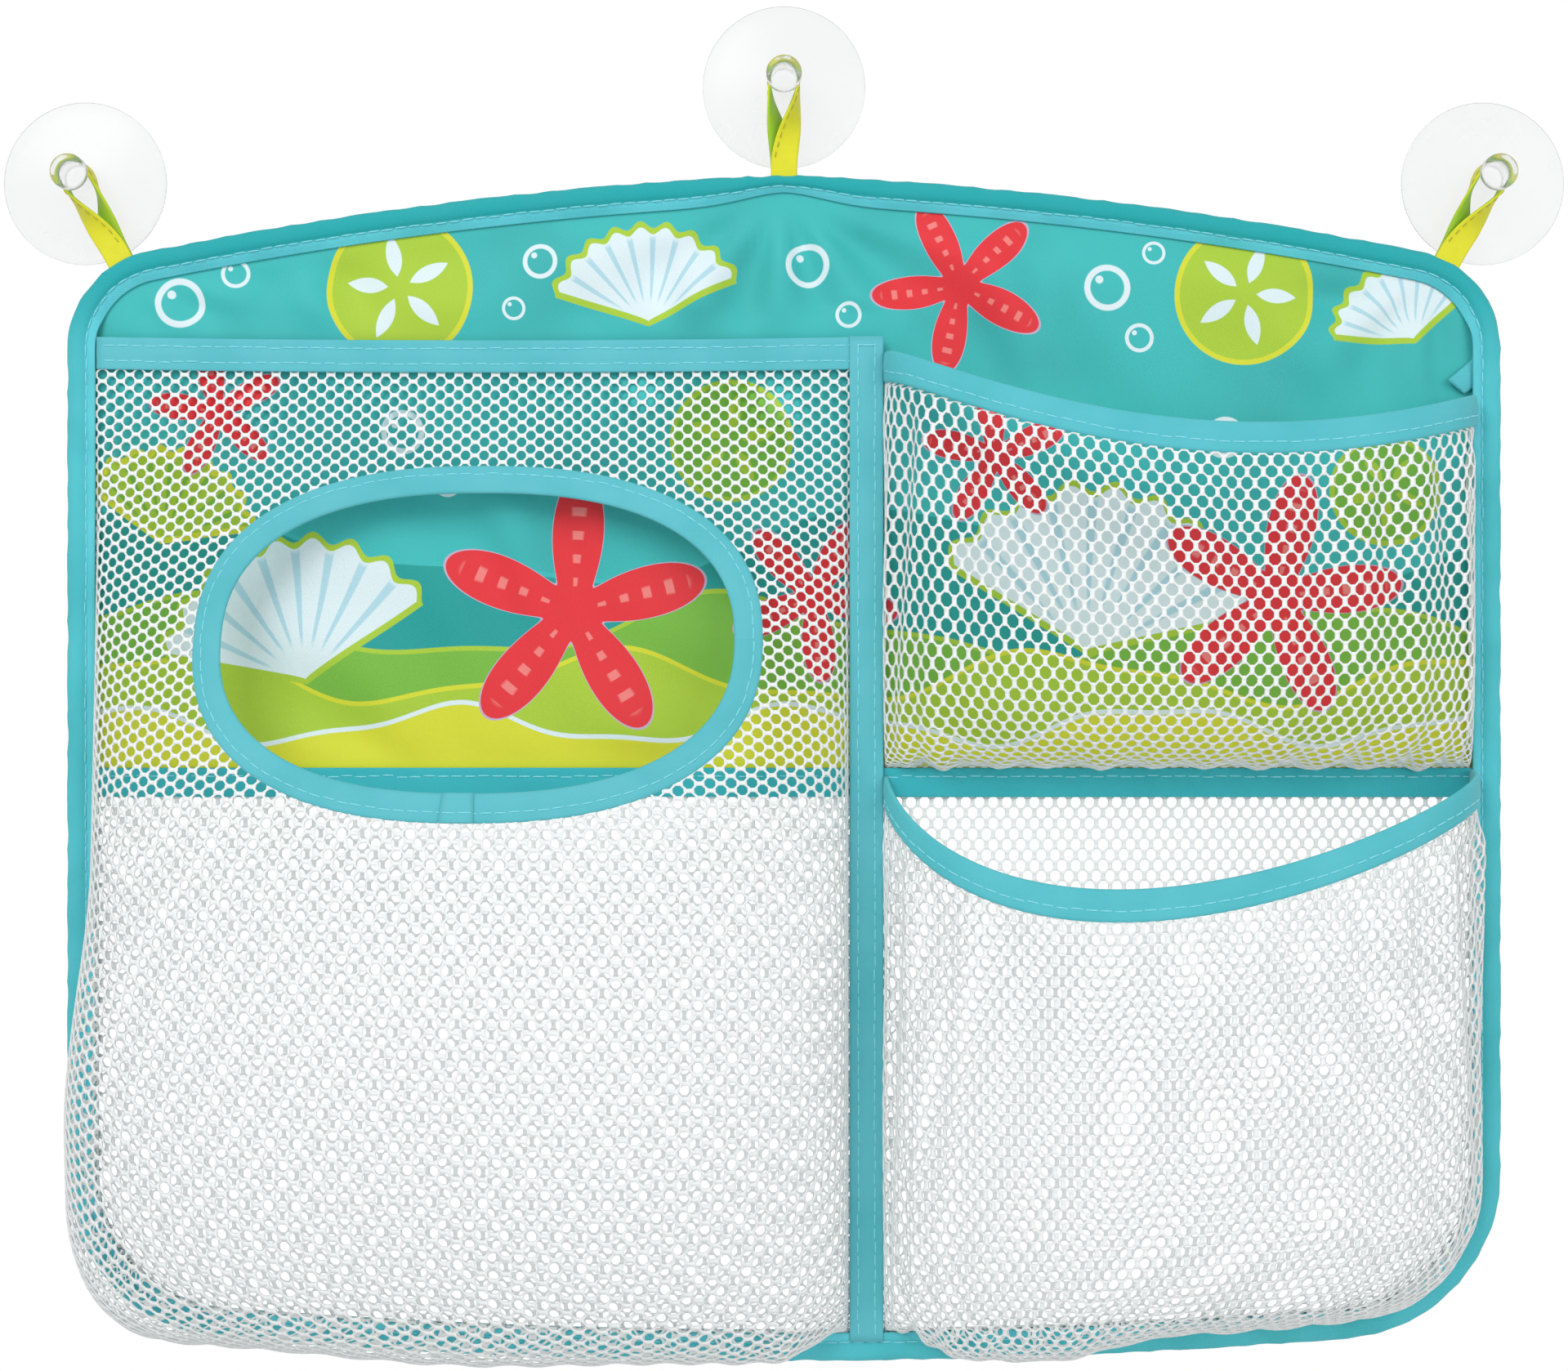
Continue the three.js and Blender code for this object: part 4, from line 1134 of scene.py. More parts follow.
@dataclass(frozen=True)
class Belly:
    """How far a pocket stands forward at a drop from its top: it swells, then rounds in to its foot."""

    height: float
    top: float
    depth: float
    drop: float
    ease: float = 1.4
    roundness: float = 2.4
    steps: int = 120

    def forward(self, drop: Array) -> Array:
        """Depth at each drop from the top."""
        swell = np.sin(np.clip(drop / self.drop, 0, 1) * np.pi / 2) ** self.ease
        upper = self.top + (self.depth - self.top) * swell
        low = np.clip((drop - self.drop) / (self.height - self.drop), 0, 1)
        lower = self.depth * (1 - low ** self.roundness) ** (1 / self.roundness)
        return np.where(drop < self.drop, upper, lower)

    def curve(self) -> Route:
        """Drop and depth along the belly, close enough together to be measured."""
        upper = np.linspace(0, self.drop, self.steps)
        turn = np.linspace(0, np.pi / 2, self.steps)
        lower = self.drop + (self.height - self.drop) * np.sin(turn) ** (2 / self.roundness)
        drop = np.concatenate([upper, lower[1:]])
        return Route(joined(drop, self.forward(drop)))


Edge = Callable[[Array], Array]
Hem = Callable[[Array, float], Array]
Ripple = Callable[[Array, Array, Array, Array], Array]


@dataclass(frozen=True)
class Overhang:
    """How far a full net swells out past its seams, low on its left side and along its foot."""

    side: float
    foot: float
    side_span: Pair = (0.54, 0.82)
    foot_rise: Pair = (-0.1, 0.0)
    foot_fall: Pair = (0.9, 1.0)
    clear: Pair = (0.002, 0.009)

    def shift(self, across: Array, down: Array, section: Array, full: Array, depth: Array) -> Array:
        """How far each place is let out.

        Args:
            across: shares across the net.
            down: shares down it.
            section: share of the row's own depth at each place.
            full: share of the belly's depth in each row below its fullest one.
            depth: depth in front of the seam, which keeps the net clear of the tape beside it.

        Returns:
            Shifts in x and z.
        """
        free = smooth_step(depth, *self.clear)
        left = np.where(across < 0.5, bow(section), 0.0)
        span = smooth_step(across, *self.foot_rise) * (1 - smooth_step(across, *self.foot_fall))
        x = -self.side * left * smooth_step(down, *self.side_span) * free
        return joined(x, -self.foot * bow(full) * span * free)


@dataclass
class NetWall:
    """A net between four edges, standing forward of its seam by a belly and rippled along its seams.

    The ripple is read by distances across, down, from the nearer side and from the foot.
    """

    left: Edge
    right: Edge
    top: Edge
    bottom: Edge
    seam_y: float
    belly: Belly
    ripple: Ripple
    top_hem: Hem
    overhang: Overhang | None = None
    gather: float = 0.0
    gather_reach: float = 0.055
    hem: float = 0.005
    side_hem: float = 0.005
    roundness: float = 2.3
    cells: int = 180
    fine_steps: int = 241
    rounds: int = 40

    def section(self, across: Array) -> Array:
        """Share of the belly's depth at shares across."""
        return bulge(across, self.roundness)

    def flat(self, across: Array, down: Array) -> Array:
        """Places in x and z at shares across and down, blended from the four edges.

        Args:
            across: shares across.
            down: shares down.

        Returns:
            The places.
        """
        a, d = across[..., None], down[..., None]
        ends = np.array([0.0, 1.0])
        top_ends, foot_ends = self.top(ends), self.bottom(ends)
        rails = self.top(across) * (1 - d) + self.bottom(across) * d
        posts = self.left(down) * (1 - a) + self.right(down) * a
        top_line = top_ends[0] * (1 - a) + top_ends[1] * a
        foot_line = foot_ends[0] * (1 - a) + foot_ends[1] * a
        return rails + posts - top_line * (1 - d) - foot_line * d

    def forward(self, across: Array, down: Array) -> Array:
        """Depth in front of the seam at shares across and down."""
        return self.belly.forward(down * self.belly.height) * self.section(across)

    def swollen(self, across: Array, down: Array) -> Array:
        """Places in x and z, with the net let out past its seams where it overhangs them.

        Args:
            across: shares across.
            down: shares down.

        Returns:
            The places.
        """
        place = self.flat(across, down)
        if self.overhang is None:
            return place
        drop = down * self.belly.height
        full = np.where(drop > self.belly.drop, self.belly.forward(drop) / self.belly.depth, 1.0)
        shares = (across, down, self.section(across), full)
        return place + self.overhang.shift(*shares, self.forward(across, down))

    def gathered(self, u: Array) -> Array:
        """Even shares across, drawn together towards the two side seams."""
        reach, inside = self.gather_reach, np.clip(u, 0, 1)
        rest = math.exp(-1 / reach)
        drawn = (1 - np.exp(-inside / reach)) + (np.exp((inside - 1) / reach) - rest)
        return u + self.gather * reach * (2 * (1 - rest) * inside - drawn)

    def depth_at(self, x: Array, z: Array) -> Array:
        """Depth y of the wall at places in x and z, found by closing in on their shares.

        Args:
            x: places across the bag.
            z: their heights.

        Returns:
            The depths.
        """
        across, down = np.full(len(x), 0.5), np.full(len(x), 0.5)
        width = float(np.ptp(self.top(np.array([0.0, 1.0]))[:, 0]))
        for _ in range(self.rounds):
            place = self.flat(across, down)
            across = across + (x - place[:, 0]) / width
            down = down + (place[:, 1] - z) / self.belly.height
        return self.seam_y - self.forward(np.clip(across, 0, 1), np.clip(down, 0, 1))

    def __post_init__(self) -> None:
        """Measures the wall on an even net of points, hems included, with the outward direction at each."""
        even = np.linspace(0, 1, self.cells + 1)
        drops = self.belly.curve().at(even)[:, 0] / self.belly.height
        fine = crowded(self.fine_steps, self.roundness)
        rows = []
        for drop in drops:
            down = np.full(len(fine), drop)
            place = self.swollen(fine, down)
            depth = self.seam_y - self.forward(fine, down)
            rows.append(Route(joined(place[:, 0], depth, place[:, 1])).at(even))
        core = np.array(rows)
        self.width = float(lengths_along(core[self.cells // 2]).max())
        self.height = float(lengths_along(core[:, self.cells // 2]).max())
        side = np.array([self.side_hem, 0.0, 0.0])
        wide = np.concatenate([core[:, :1] - side, core, core[:, -1:] + side], axis=1)
        over = self.top_hem(np.concatenate([[0.0], even, [1.0]]), self.hem)
        under = wide[-1] - [0.0, 0.0, self.hem]
        self.points = np.concatenate([over[None], wide, under[None]])
        pad_u, pad_v = self.side_hem / self.width, self.hem / self.height
        self.us = np.concatenate([[-pad_u], even, [1 + pad_u]])
        self.vs = np.concatenate([[-pad_v], even, [1 + pad_v]])
        along = np.gradient(self.points, self.us, axis=1)
        down = np.gradient(self.points, self.vs, axis=0)
        self.normals = unit(np.cross(down, along))
        u, v = np.meshgrid(np.clip(self.us, 0, 1), np.clip(self.vs, 0, 1))
        across, drop = u * self.width, v * self.height
        to_side = np.minimum(across, self.width - across)
        ripple = self.ripple(across, drop, to_side, self.height - drop)
        self.points = self.points + self.normals * ripple[..., None]

    def at(self, u: Array, v: Array) -> tuple[Array, Array]:
        """Places and outward directions at even shares across and down.

        Args:
            u: shares across, a little past 0 and 1 in the hems.
            v: shares down, likewise.

        Returns:
            Points and directions.
        """
        u = self.gathered(u)
        i = np.clip(np.searchsorted(self.us, u) - 1, 0, len(self.us) - 2)
        j = np.clip(np.searchsorted(self.vs, v) - 1, 0, len(self.vs) - 2)
        a = ((u - self.us[i]) / (self.us[i + 1] - self.us[i]))[..., None]
        b = ((v - self.vs[j]) / (self.vs[j + 1] - self.vs[j]))[..., None]
        found = []
        for table in (self.points, self.normals):
            upper = table[j, i] * (1 - a) + table[j, i + 1] * a
            lower = table[j + 1, i] * (1 - a) + table[j + 1, i + 1] * a
            found.append(upper * (1 - b) + lower * b)
        return found[0], unit(found[1])


HOLE_CORNERS = 8


@dataclass(frozen=True)
class NetKnit:
    """The knit of a net: columns of rounded holes, each column half a hole further along than the last.

    The columns stand upright, or lie across the pocket where the net was cut turned.
    """

    column: float = 0.00370
    pitch: float = 0.00490
    hole_width: float = 0.00380
    hole_length: float = 0.00355
    thickness: float = 0.00055
    hem_share: float = 0.8
    turned: bool = False

    def shares(self, across: Array, along: Array) -> tuple[Array, Array]:
        """Shares across and down the wall of places across and along the columns."""
        return (along, across) if self.turned else (across, along)

    def knit(self, name: str, wall: NetWall,
             keep: Callable[[Array], Array] | None = None) -> Piece:
        """Knits a net over a wall.

        Args:
            name: name of the object.
            wall: the wall.
            keep: tells which places hold net, where not all do.

        Returns:
            The net, closed all round.
        """
        width, length = self.shares(wall.width, wall.height)
        columns = max(2, round(width / self.column))
        rows = max(2, round(length / self.pitch))
        i, j = np.meshgrid(np.arange(-1, columns + 1), np.arange(-1, rows + 1), indexing="ij")
        further = i % 2
        across = (i + 0.5) / columns
        along = (j + 0.25 + 0.5 * further) / rows
        hem_across, hem_along = self.shares(wall.side_hem, wall.hem)
        there = np.abs(across - 0.5) < 0.5 + self.hem_share * hem_across / width
        there &= np.abs(along - 0.5) < 0.5 + self.hem_share * hem_along / length
        if keep is not None:
            there &= keep(wall.at(*self.shares(across, along))[0])
        number = np.full(i.shape, -1)
        number[there] = np.arange(there.sum())
        angles = (np.arange(HOLE_CORNERS) + 0.5) * 2 * np.pi / HOLE_CORNERS
        corner = 0.5 / math.cos(math.pi / HOLE_CORNERS)
        corner_across = across[there][:, None] + corner * self.hole_width / width * np.cos(angles)
        corner_along = along[there][:, None] - corner * self.hole_length / length * np.sin(angles)
        points, normals = wall.at(*self.shares(corner_across.ravel(), corner_along.ravel()))
        quads = self.strands(number, further)
        if self.turned:
            quads = quads[:, ::-1]
        solid, faces = thickened(points, normals, quads, self.thickness)
        used = np.unique(faces)
        renumber = np.zeros(len(solid), int)
        renumber[used] = np.arange(len(used))
        return Shape(solid[used], [tuple(face) for face in renumber[faces].tolist()]).build(name)

    def strands(self, number: Array, further: Array) -> Array:
        """Faces of the strands and knots between neighbouring holes.

        Args:
            number: number of each hole by column and row, -1 where there is none.
            further: 1 in the columns that lie half a hole further along.

        Returns:
            Rows of four point numbers, eight points to a hole.
        """
        right_up, up_right, up_left, left_up = range(HOLE_CORNERS // 2)
        left_down, down_left, down_right, right_down = range(HOLE_CORNERS // 2, HOLE_CORNERS)
        padded = np.pad(number, 1, constant_values=-1)
        low = np.pad(further, 1)
        columns, rows = number.shape
        i, j = np.meshgrid(np.arange(1, columns + 1), np.arange(1, rows + 1), indexing="ij")
        shift = low[i, j]
        here = padded[i, j]
        above = padded[i, j - 1]
        beside_up, beside_down = padded[i + 1, j - 1 + shift], padded[i + 1, j + shift]
        before_up, before_down = padded[i - 1, j - 1 + shift], padded[i - 1, j + shift]
        spans = [
            ((here, up_left), (here, up_right), (above, down_right), (above, down_left)),
            ((here, up_right), (here, right_up), (beside_up, down_left), (beside_up, left_down)),
            ((here, right_down), (here, down_right), (beside_down, left_up), (beside_down, up_left)),
            ((here, right_up), (here, right_down), (beside_down, up_left), (beside_up, down_left)),
            ((here, left_down), (here, left_up), (before_up, down_right), (before_down, up_right)),
        ]
        faces = []
        for span in spans:
            whole = np.all([hole >= 0 for hole, _ in span], axis=0)
            faces.append(joined(*(HOLE_CORNERS * hole[whole] + corner for hole, corner in span)))
        return np.concatenate(faces)


class Workshop:
    """What the sub-assemblies share: the materials, the bag's sewing, and nets cut upright or turned."""

    def __init__(self, loop_width: float) -> None:
        """Makes every material once.

        Args:
            loop_width: width of the loop tape, which parts its two faces.
        """
        self.print_cloth = sea_print().material()
        self.net = FibreFinish("knitted_net", NET_WHITE).material()
        # The binding's material darkens its rolled edge with painted shade, most of all along the top.
        self.edge = TapeFinish("edge_twill_roll_painted_shade", EDGE_TEAL, EDGE_SHADE, PAINTED_ROLL_SHADE).material()
        # The centre band's material is a darker copy of the tape, painted shade for where the pockets shade
        # it.
        self.band = TapeFinish("band_twill_in_painted_shade", PAINTED_SHADE_BAND_TEAL, PAINTED_SHADE_BAND_DARK).material()
        self.tape = TapeFinish("pocket_twill", TAPE_TEAL, TAPE_SHADE).material()
        self.lip = TapeFinish("lip_twill", LIP_TEAL, LIP_SHADE).material()
        self.thread = ThreadFinish("sewing_thread", THREAD_TEAL).material()
        self.loop = LoopFinish("loop_tape", LOOP_YELLOW, LOOP_INNER_PAINTED_SHADE, loop_width).material()
        self.loop_thread = ThreadFinish("loop_thread", LOOP_THREAD).material()
        self.vinyl = VinylFinish("clear_vinyl", VINYL_GREY).material()
        self.stitching = Stitching()
        self.upright = NetKnit()
        self.turned = NetKnit(0.00356, 0.0047, hole_width=0.0039, hole_length=0.0034, turned=True)


class SubAssembly(Protocol):
    """A part of the organizer that makes its own pieces."""

    def build(self, shop: Workshop) -> None:
        """Makes the pieces, dresses them and lets them ride on their bodies.

        Args:
            shop: what the sub-assemblies share.
        """


@dataclass(frozen=True)
class Span:
    """From one side of a node's box to the other."""

    low: float
    high: float

    @classmethod
    def of(cls, node: str, axis: Axis) -> "Span":
        """Reads a node's box along one axis."""
        low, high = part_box(node)
        return cls(low[axis], high[axis])

    @property
    def middle(self) -> float:
        """Half way."""
        return (self.low + self.high) / 2

    @property
    def size(self) -> float:
        """From side to side."""
        return self.high - self.low


class BagFrame:
    """Places of the bag that its pieces share, read from the frame."""

    binding: float = 0.010
    net_offset: float = 0.0006

    def __init__(self) -> None:
        """Reads the frame's boxes."""
        rise = Span.of("perimeter_binding", Axis.Z)
        back = Span.of("back_net", Axis.Y)
        self.outline = BagOutline(Span.of("perimeter_binding", Axis.X).high, rise.high, rise.low)
        self.fold = Span.of("perimeter_binding", Axis.Y)
        self.panel_y = Span.of("printed_back_panel", Axis.Y).middle
        self.back_net_y = back.middle
        self.left_seam_y = Span.of("left_pocket_net", Axis.Y).high - back.size / 2
        self.right_seam_y = Span.of("lower_right_pocket_net", Axis.Y).high - back.size / 2
        self.divider = Span.of("divider_tape", Axis.X)
        self.divider_rise = Span.of("divider_tape", Axis.Z)
        self.divider_y = Span.of("divider_tape", Axis.Y).middle
        self.band = Span.of("centre_band", Axis.Z)
        self.top = Span.of("left_pocket_top_band", Axis.Z)
        self.top_y = Span.of("left_pocket_top_band", Axis.Y).middle


def straight(start: Sequence[float], end: Sequence[float]) -> Edge:
    """A straight edge in x and z, read by shares."""
    a, b = np.array(start), np.array(end)
    return lambda shares: a + np.asarray(shares)[..., None] * (b - a)


def flat_hem(left_x: float, right_x: float, y: float, top_z: float) -> Hem:
    """A top hem flat behind a straight tape, read by shares along it and a distance up."""
    return lambda shares, up: joined(left_x + shares * (right_x - left_x), y, top_z + up)


@dataclass(frozen=True)
class Pull:
    """Folds that fan out from where a loop pulls on the cloth."""

    x: float
    z: float
    height: float
    folds: float
    start: float
    rise: float = 0.03
    reach: float = 0.085

    def relief(self, x: Array, z: Array) -> Array:
        """How far the folds stand forward at places in x and z."""
        away = np.hypot(x - self.x, z - self.z)
        angle = np.arctan2(x - self.x, self.z - z)
        swell = np.clip(away / self.rise, 0, 1) * np.exp(-away / self.reach)
        return self.height * np.cos(self.folds * angle + self.start) * swell


@dataclass
class PrintedPanel:
    """The printed cloth behind the upper half, with soft folds that run from where the loops pull."""

    bag: BagFrame
    thickness: float = 0.0004
    inset: float = 0.0035
    columns: int = 190
    rows: int = 84
    shoulder: Pair = (0.222, -0.062)
    top_pull: float = 0.00384
    shoulder_pull: float = 0.00256
    drape_across: Ruffle = Ruffle(0.0011, 0.19, 0.6)
    drape_down: Ruffle = Ruffle(1.0, 0.17, 1.0)
    wrinkle: Ruffle = Ruffle(0.0021, 0.045)
    wrinkle_slant: float = 0.75
    wander: Ruffle = Ruffle(1.6, 0.13)
    wander_slant: float = 0.5
    patch_share: float = 0.55
    patch_across: Ruffle = Ruffle(0.45, 0.11, 0.9)
    patch_down: Ruffle = Ruffle(1.0, 0.15, math.pi / 2)
    still_top: float = 0.014
    still_foot: float = 0.012
    still_side: float = 0.016
    still_divider: Pair = (0.007, 0.024)
    still_over_divider: float = 0.01
    still_tape: Pair = (0.005, 0.018)

    def folds(self, x: Array, z: Array) -> Array:
        """Folds from the three loops, a slow drape, and slanting wrinkles that come and go.

        Args:
            x: places across the bag.
            z: their heights.

        Returns:
            Distances forward.
        """
        side_x, side_z = self.shoulder
        pulls = (
            Pull(0.0, self.bag.outline.peak_z, self.top_pull, 11.0, 0.4),
            Pull(-side_x, side_z, self.shoulder_pull, 9.0, 1.1),
            Pull(side_x, side_z, self.shoulder_pull, 9.0, 2.0),
        )
        drape = self.drape_across.at(x) * self.drape_down.at(z)
        patch = self.patch_share + self.patch_across.at(x) * self.patch_down.at(z)
        wander = self.wander.at(x - self.wander_slant * z)
        wrinkles = patch * self.wrinkle.at(x + self.wrinkle_slant * z, wander)
        return sum(pull.relief(x, z) for pull in pulls) + drape + wrinkles

    def relief(self, x: Array, z: Array) -> Array:
        """How far the cloth stands forward: its folds, which are still at every seam.

        Args:
            x: places across the bag.
            z: their heights.

        Returns:
            Distances forward.
        """
        bag, outline = self.bag, self.bag.outline
        middle = bag.divider.middle
        still = smooth_step(outline.top_z(x, bag.binding) - z, 0.0, self.still_top)
        still = still * smooth_step(z - bag.band.high, 0.0, self.still_foot)
        still = still * smooth_step(outline.half_width - bag.binding - np.abs(x), 0.0, self.still_side)
        beside = smooth_step(np.abs(x - middle), *self.still_divider)
        still = still * np.where(z < bag.divider_rise.high + self.still_over_divider, beside, 1.0)
        off_tape = smooth_step(np.abs(z - bag.top.middle), *self.still_tape)
        return self.folds(x, z) * still * np.where(x < middle, off_tape, 1.0)

    def build(self, shop: Workshop) -> None:
        """Makes the cloth and lets it ride on the bag."""
        bag = self.bag
        reach = bag.outline.half_width - self.inset
        x = np.linspace(-reach, reach, self.columns + 1)
        foot = bag.band.middle
        tall = bag.outline.top_z(x, self.inset) - foot
        share = np.linspace(0, 1, self.rows + 1)
        z = foot + tall[:, None] * share
        wide = np.repeat(x[:, None], self.rows + 1, axis=1)
        y = bag.panel_y - self.relief(wide, z)
        sheet = grid_shape(joined(wide, y, z), x, share)
        normals = np.tile(FORWARD, (len(sheet.points), 1))
        solid, faces = thickened(sheet.points, normals, np.array(sheet.faces)[:, ::-1], self.thickness)
        piece = Shape(solid, [tuple(face) for face in faces.tolist()]).build("printed_cloth")
        dress(piece, shop.print_cloth, Slot.PRINT, "printed_back_panel")
        ride(piece, Body.BAG)


@dataclass
class PerimeterBinding:
    """Folded tape round the whole edge, full over the rolled edge and pinched along its stitches."""

    bag: BagFrame
    step: float = 0.0025
    thickness: float = 0.0006
    flange_insets: tuple[float, ...] = (0.0096, 0.0091, 0.0083, 0.0075)
    stitch_inset: float = 0.0069
    roll_insets: tuple[float, ...] = (0.0062, 0.0052, 0.0041, 0.0030, 0.0022)
    fold_inset: float = 0.0016
    fold_steps: int = 13
    inner_inset: float = 0.0022
    inner_fold: float = 0.0012
    roll: float = 0.0010
    roll_ease: float = 0.8
    flange: float = 0.0003
    dimple: float = 0.00025
    dimple_width: float = 0.0006
    puckers: tuple[Ruffle, ...] = (Ruffle(0.00022, 0.0310), Ruffle(0.00022, 0.0173, 1.0))
    pinch_pucker: Ruffle = Ruffle(0.00044, 0.0150, math.pi / 2)
    pinch: float = 0.4
    pinch_reach: float = 0.019
    over_cloth: float = 0.0009
    settle_above: Pair = (0.002, 0.014)
    settle_from: float = 0.0057

    def section(self) -> Array:
        """Inset and depth once round the folded tape: up its front face, over the fold and back inside."""
        width, depth = self.bag.binding, self.bag.fold
        stitched, half = self.stitch_inset, depth.size / 2
        inset = np.array([width, *self.flange_insets, stitched, *self.roll_insets])
        low = np.clip((inset - stitched) / (width - stitched), 0, 1)
        high = np.clip((stitched - inset) / stitched, 0, 1)
        swell = self.flange * np.sin(np.pi * low) + self.roll * np.sin(np.pi * high) ** self.roll_ease
        swell = swell - self.dimple * np.exp(-((inset - stitched) / self.dimple_width) ** 2)
        front_face = joined(inset, depth.low - swell)
        turn = np.linspace(0, np.pi, self.fold_steps)
        over_depth = depth.middle - (half + 0.5 * self.roll) * np.cos(turn)
        over = joined(self.fold_inset * (1 - np.sin(turn)), over_depth)
        rear_face = joined(inset[::-1], depth.high + 0.5 * swell[::-1])
        inside = joined(np.array([width, self.inner_inset, self.inner_fold, self.inner_inset, width]),
                        depth.middle + (half - self.thickness) * np.array([1, 1, 0, -1, -1]))
        return np.concatenate([front_face, over[1:-1], rear_face, inside])

    def place(self, section: Array) -> Array:
        """The section all round the outline, its folded edge uneven and pinched at the top loop.

        Args:
            section: inset and depth round the folded tape.

        Returns:
            Points, a row for each point of the outline.
        """
        rim, outward = self.bag.outline.rim(self.step)
        track = lengths_along(np.concatenate([rim, rim[:1]]))
        from_peak = np.minimum(track, track[-1] - track)[:-1]
        near = np.exp(-(from_peak / self.pinch_reach) ** 2)
        wave = sum(pucker.at(track[:-1]) for pucker in self.puckers)
        wave = (wave + near * self.pinch_pucker.at(from_peak))[:, None]
        outer = np.clip(1 - section[:, 0] / self.stitch_inset, 0, 1)
        inset = section[:, 0] * (1 - self.pinch * near)[:, None] + np.abs(wave) * outer
        flat = rim[:, None] - outward[:, None] * inset[..., None]
        depth = section[:, 1] + 0.5 * wave * outer + self.settled(rim[:, 1], section)
        return joined(flat[..., 0], depth, flat[..., 1])

    def settled(self, heights: Array, section: Array) -> Array:
        """How far the front face lies back onto the cloth inside its stitches, above the pockets.

        Args:
            heights: height of each point round the outline.
            section: inset and depth round the folded tape.

        Returns:
            Shifts in y, a row for each point of the outline.
        """
        bag = self.bag
        low, high = self.settle_above
        above = smooth_step(heights, bag.top.high + low, bag.top.high + high)
        inner = smooth_step(section[:, 0], self.settle_from, bag.binding)
        front = section[:, 1] < bag.fold.middle
        return above[:, None] * inner * front * (bag.panel_y - self.over_cloth - bag.fold.low)

    def build(self, shop: Workshop) -> None:
        """Makes the tape and sews its row, front and back."""
        section = self.section()
        points = self.place(section)
        track = points[:, 0]
        u = lengths_along(np.concatenate([track, track[:1]]))
        v = lengths_along(np.concatenate([section, section[:1]]))
        piece = grid_shape(points, u, v, True, True).build("binding_tape_round_the_edge")
        ride(dress(piece, shop.edge, Slot.TAPE, "perimeter_binding"), Body.BAG)
        for depth, facing in ((self.bag.fold.low, FORWARD), (self.bag.fold.high, -FORWARD)):
            line = self.place(np.array([[self.stitch_inset, depth]]))[:, 0]
            shop.stitching.row(line, np.tile(facing, (len(line), 1)), closed=True)


@dataclass
class FlatTapes:
    """The straight tapes of the bag: centre band, top band of the large pocket, and divider."""

    bag: BagFrame
    thickness: float = 0.0007
    stitch_margin: float = 0.0029
    stitch_clear: float = 0.002
    under: float = 0.003
    step: float = 0.003
    top_gap: float = 0.0005
    top_sag: float = 0.0012
    end_row_points: int = 6
    end_row_lift: float = 0.0002
    end_row_clear: float = 0.0002

    def ribbon(self, start: Sequence[float], end: Sequence[float], width: float, sag: float = 0.0,
               rows: int = 2) -> Ribbon:
        """A tape along a straight line in x, y and z, with a stitch row near one edge or both.

        Args:
            start: middle of one end.
            end: middle of the other end.
            width: width of the tape.
            sag: how far its middle is let down.
            rows: 1 for a row near the upper edge alone, 2 for one near each edge.

        Returns:
            The tape.
        """
        a, b = np.array(start), np.array(end)
        length = float(np.linalg.norm(b - a))
        share = np.linspace(0, 1, max(2, int(length / self.step)))[:, None]
        middle = a + (b - a) * share
        middle[:, 2] -= sag * bow(share)[:, 0]
        across = unit(np.cross(FORWARD, b - a)) * width / 2
        margin = self.stitch_margin / width
        stitched_at = (1 - margin, margin)[:rows]
        return Ribbon(middle - across, middle + across, self.thickness, stitched_at=stitched_at)

    def build(self, shop: Workshop) -> None:
        """Makes the three tapes and sews them down."""
        bag = self.bag
        side = bag.outline.half_width - bag.binding
        middle = bag.divider.middle
        band_z = bag.band.middle
        band_width = bag.band.size
        behind, before = bag.right_seam_y, bag.left_seam_y
        end = side + self.under
        left_band = self.ribbon((-end, behind, band_z), (middle, behind, band_z), band_width, rows=1)
        right_band = self.ribbon((middle, before, band_z), (end, before, band_z), band_width, rows=1)
        top_z = bag.top.middle
        top_end = side - self.top_gap
        top = self.ribbon((-top_end, bag.top_y, top_z), (middle, bag.top_y, top_z), bag.top.size,
                          self.top_sag)
        head, foot = bag.divider_rise.high, bag.divider_rise.low - self.under
        divider = self.ribbon((middle, bag.divider_y, head), (middle, bag.divider_y, foot), bag.divider.size)
        # The centre band takes the tape darkened with painted shade.
        tapes = (("centre_band_left", left_band, shop.band, ("centre_band",)),
                 ("centre_band_right", right_band, shop.band, ()),
                 ("large_pocket_top_tape", top, shop.tape, ("left_pocket_top_band",)),
                 ("divider_webbing", divider, shop.tape, ("divider_tape",)))
        for name, tape, finish, nodes in tapes:
            piece = tape.shape().build(name)
            ride(dress(piece, finish, Slot.TAPE, *nodes), Body.BAG)
            for share in tape.stitched_at:
                shop.stitching.row(*tape.line(share), clear=self.stitch_clear)
        x = np.linspace(bag.divider.low + self.stitch_clear, bag.divider.high - self.stitch_clear,
                        self.end_row_points)
        face_y = bag.divider_y - self.thickness / 2 - self.end_row_lift
        end_row = joined(x, face_y, head - self.stitch_margin)
        shop.stitching.row(end_row, np.tile(FORWARD, (len(x), 1)), clear=self.end_row_clear)


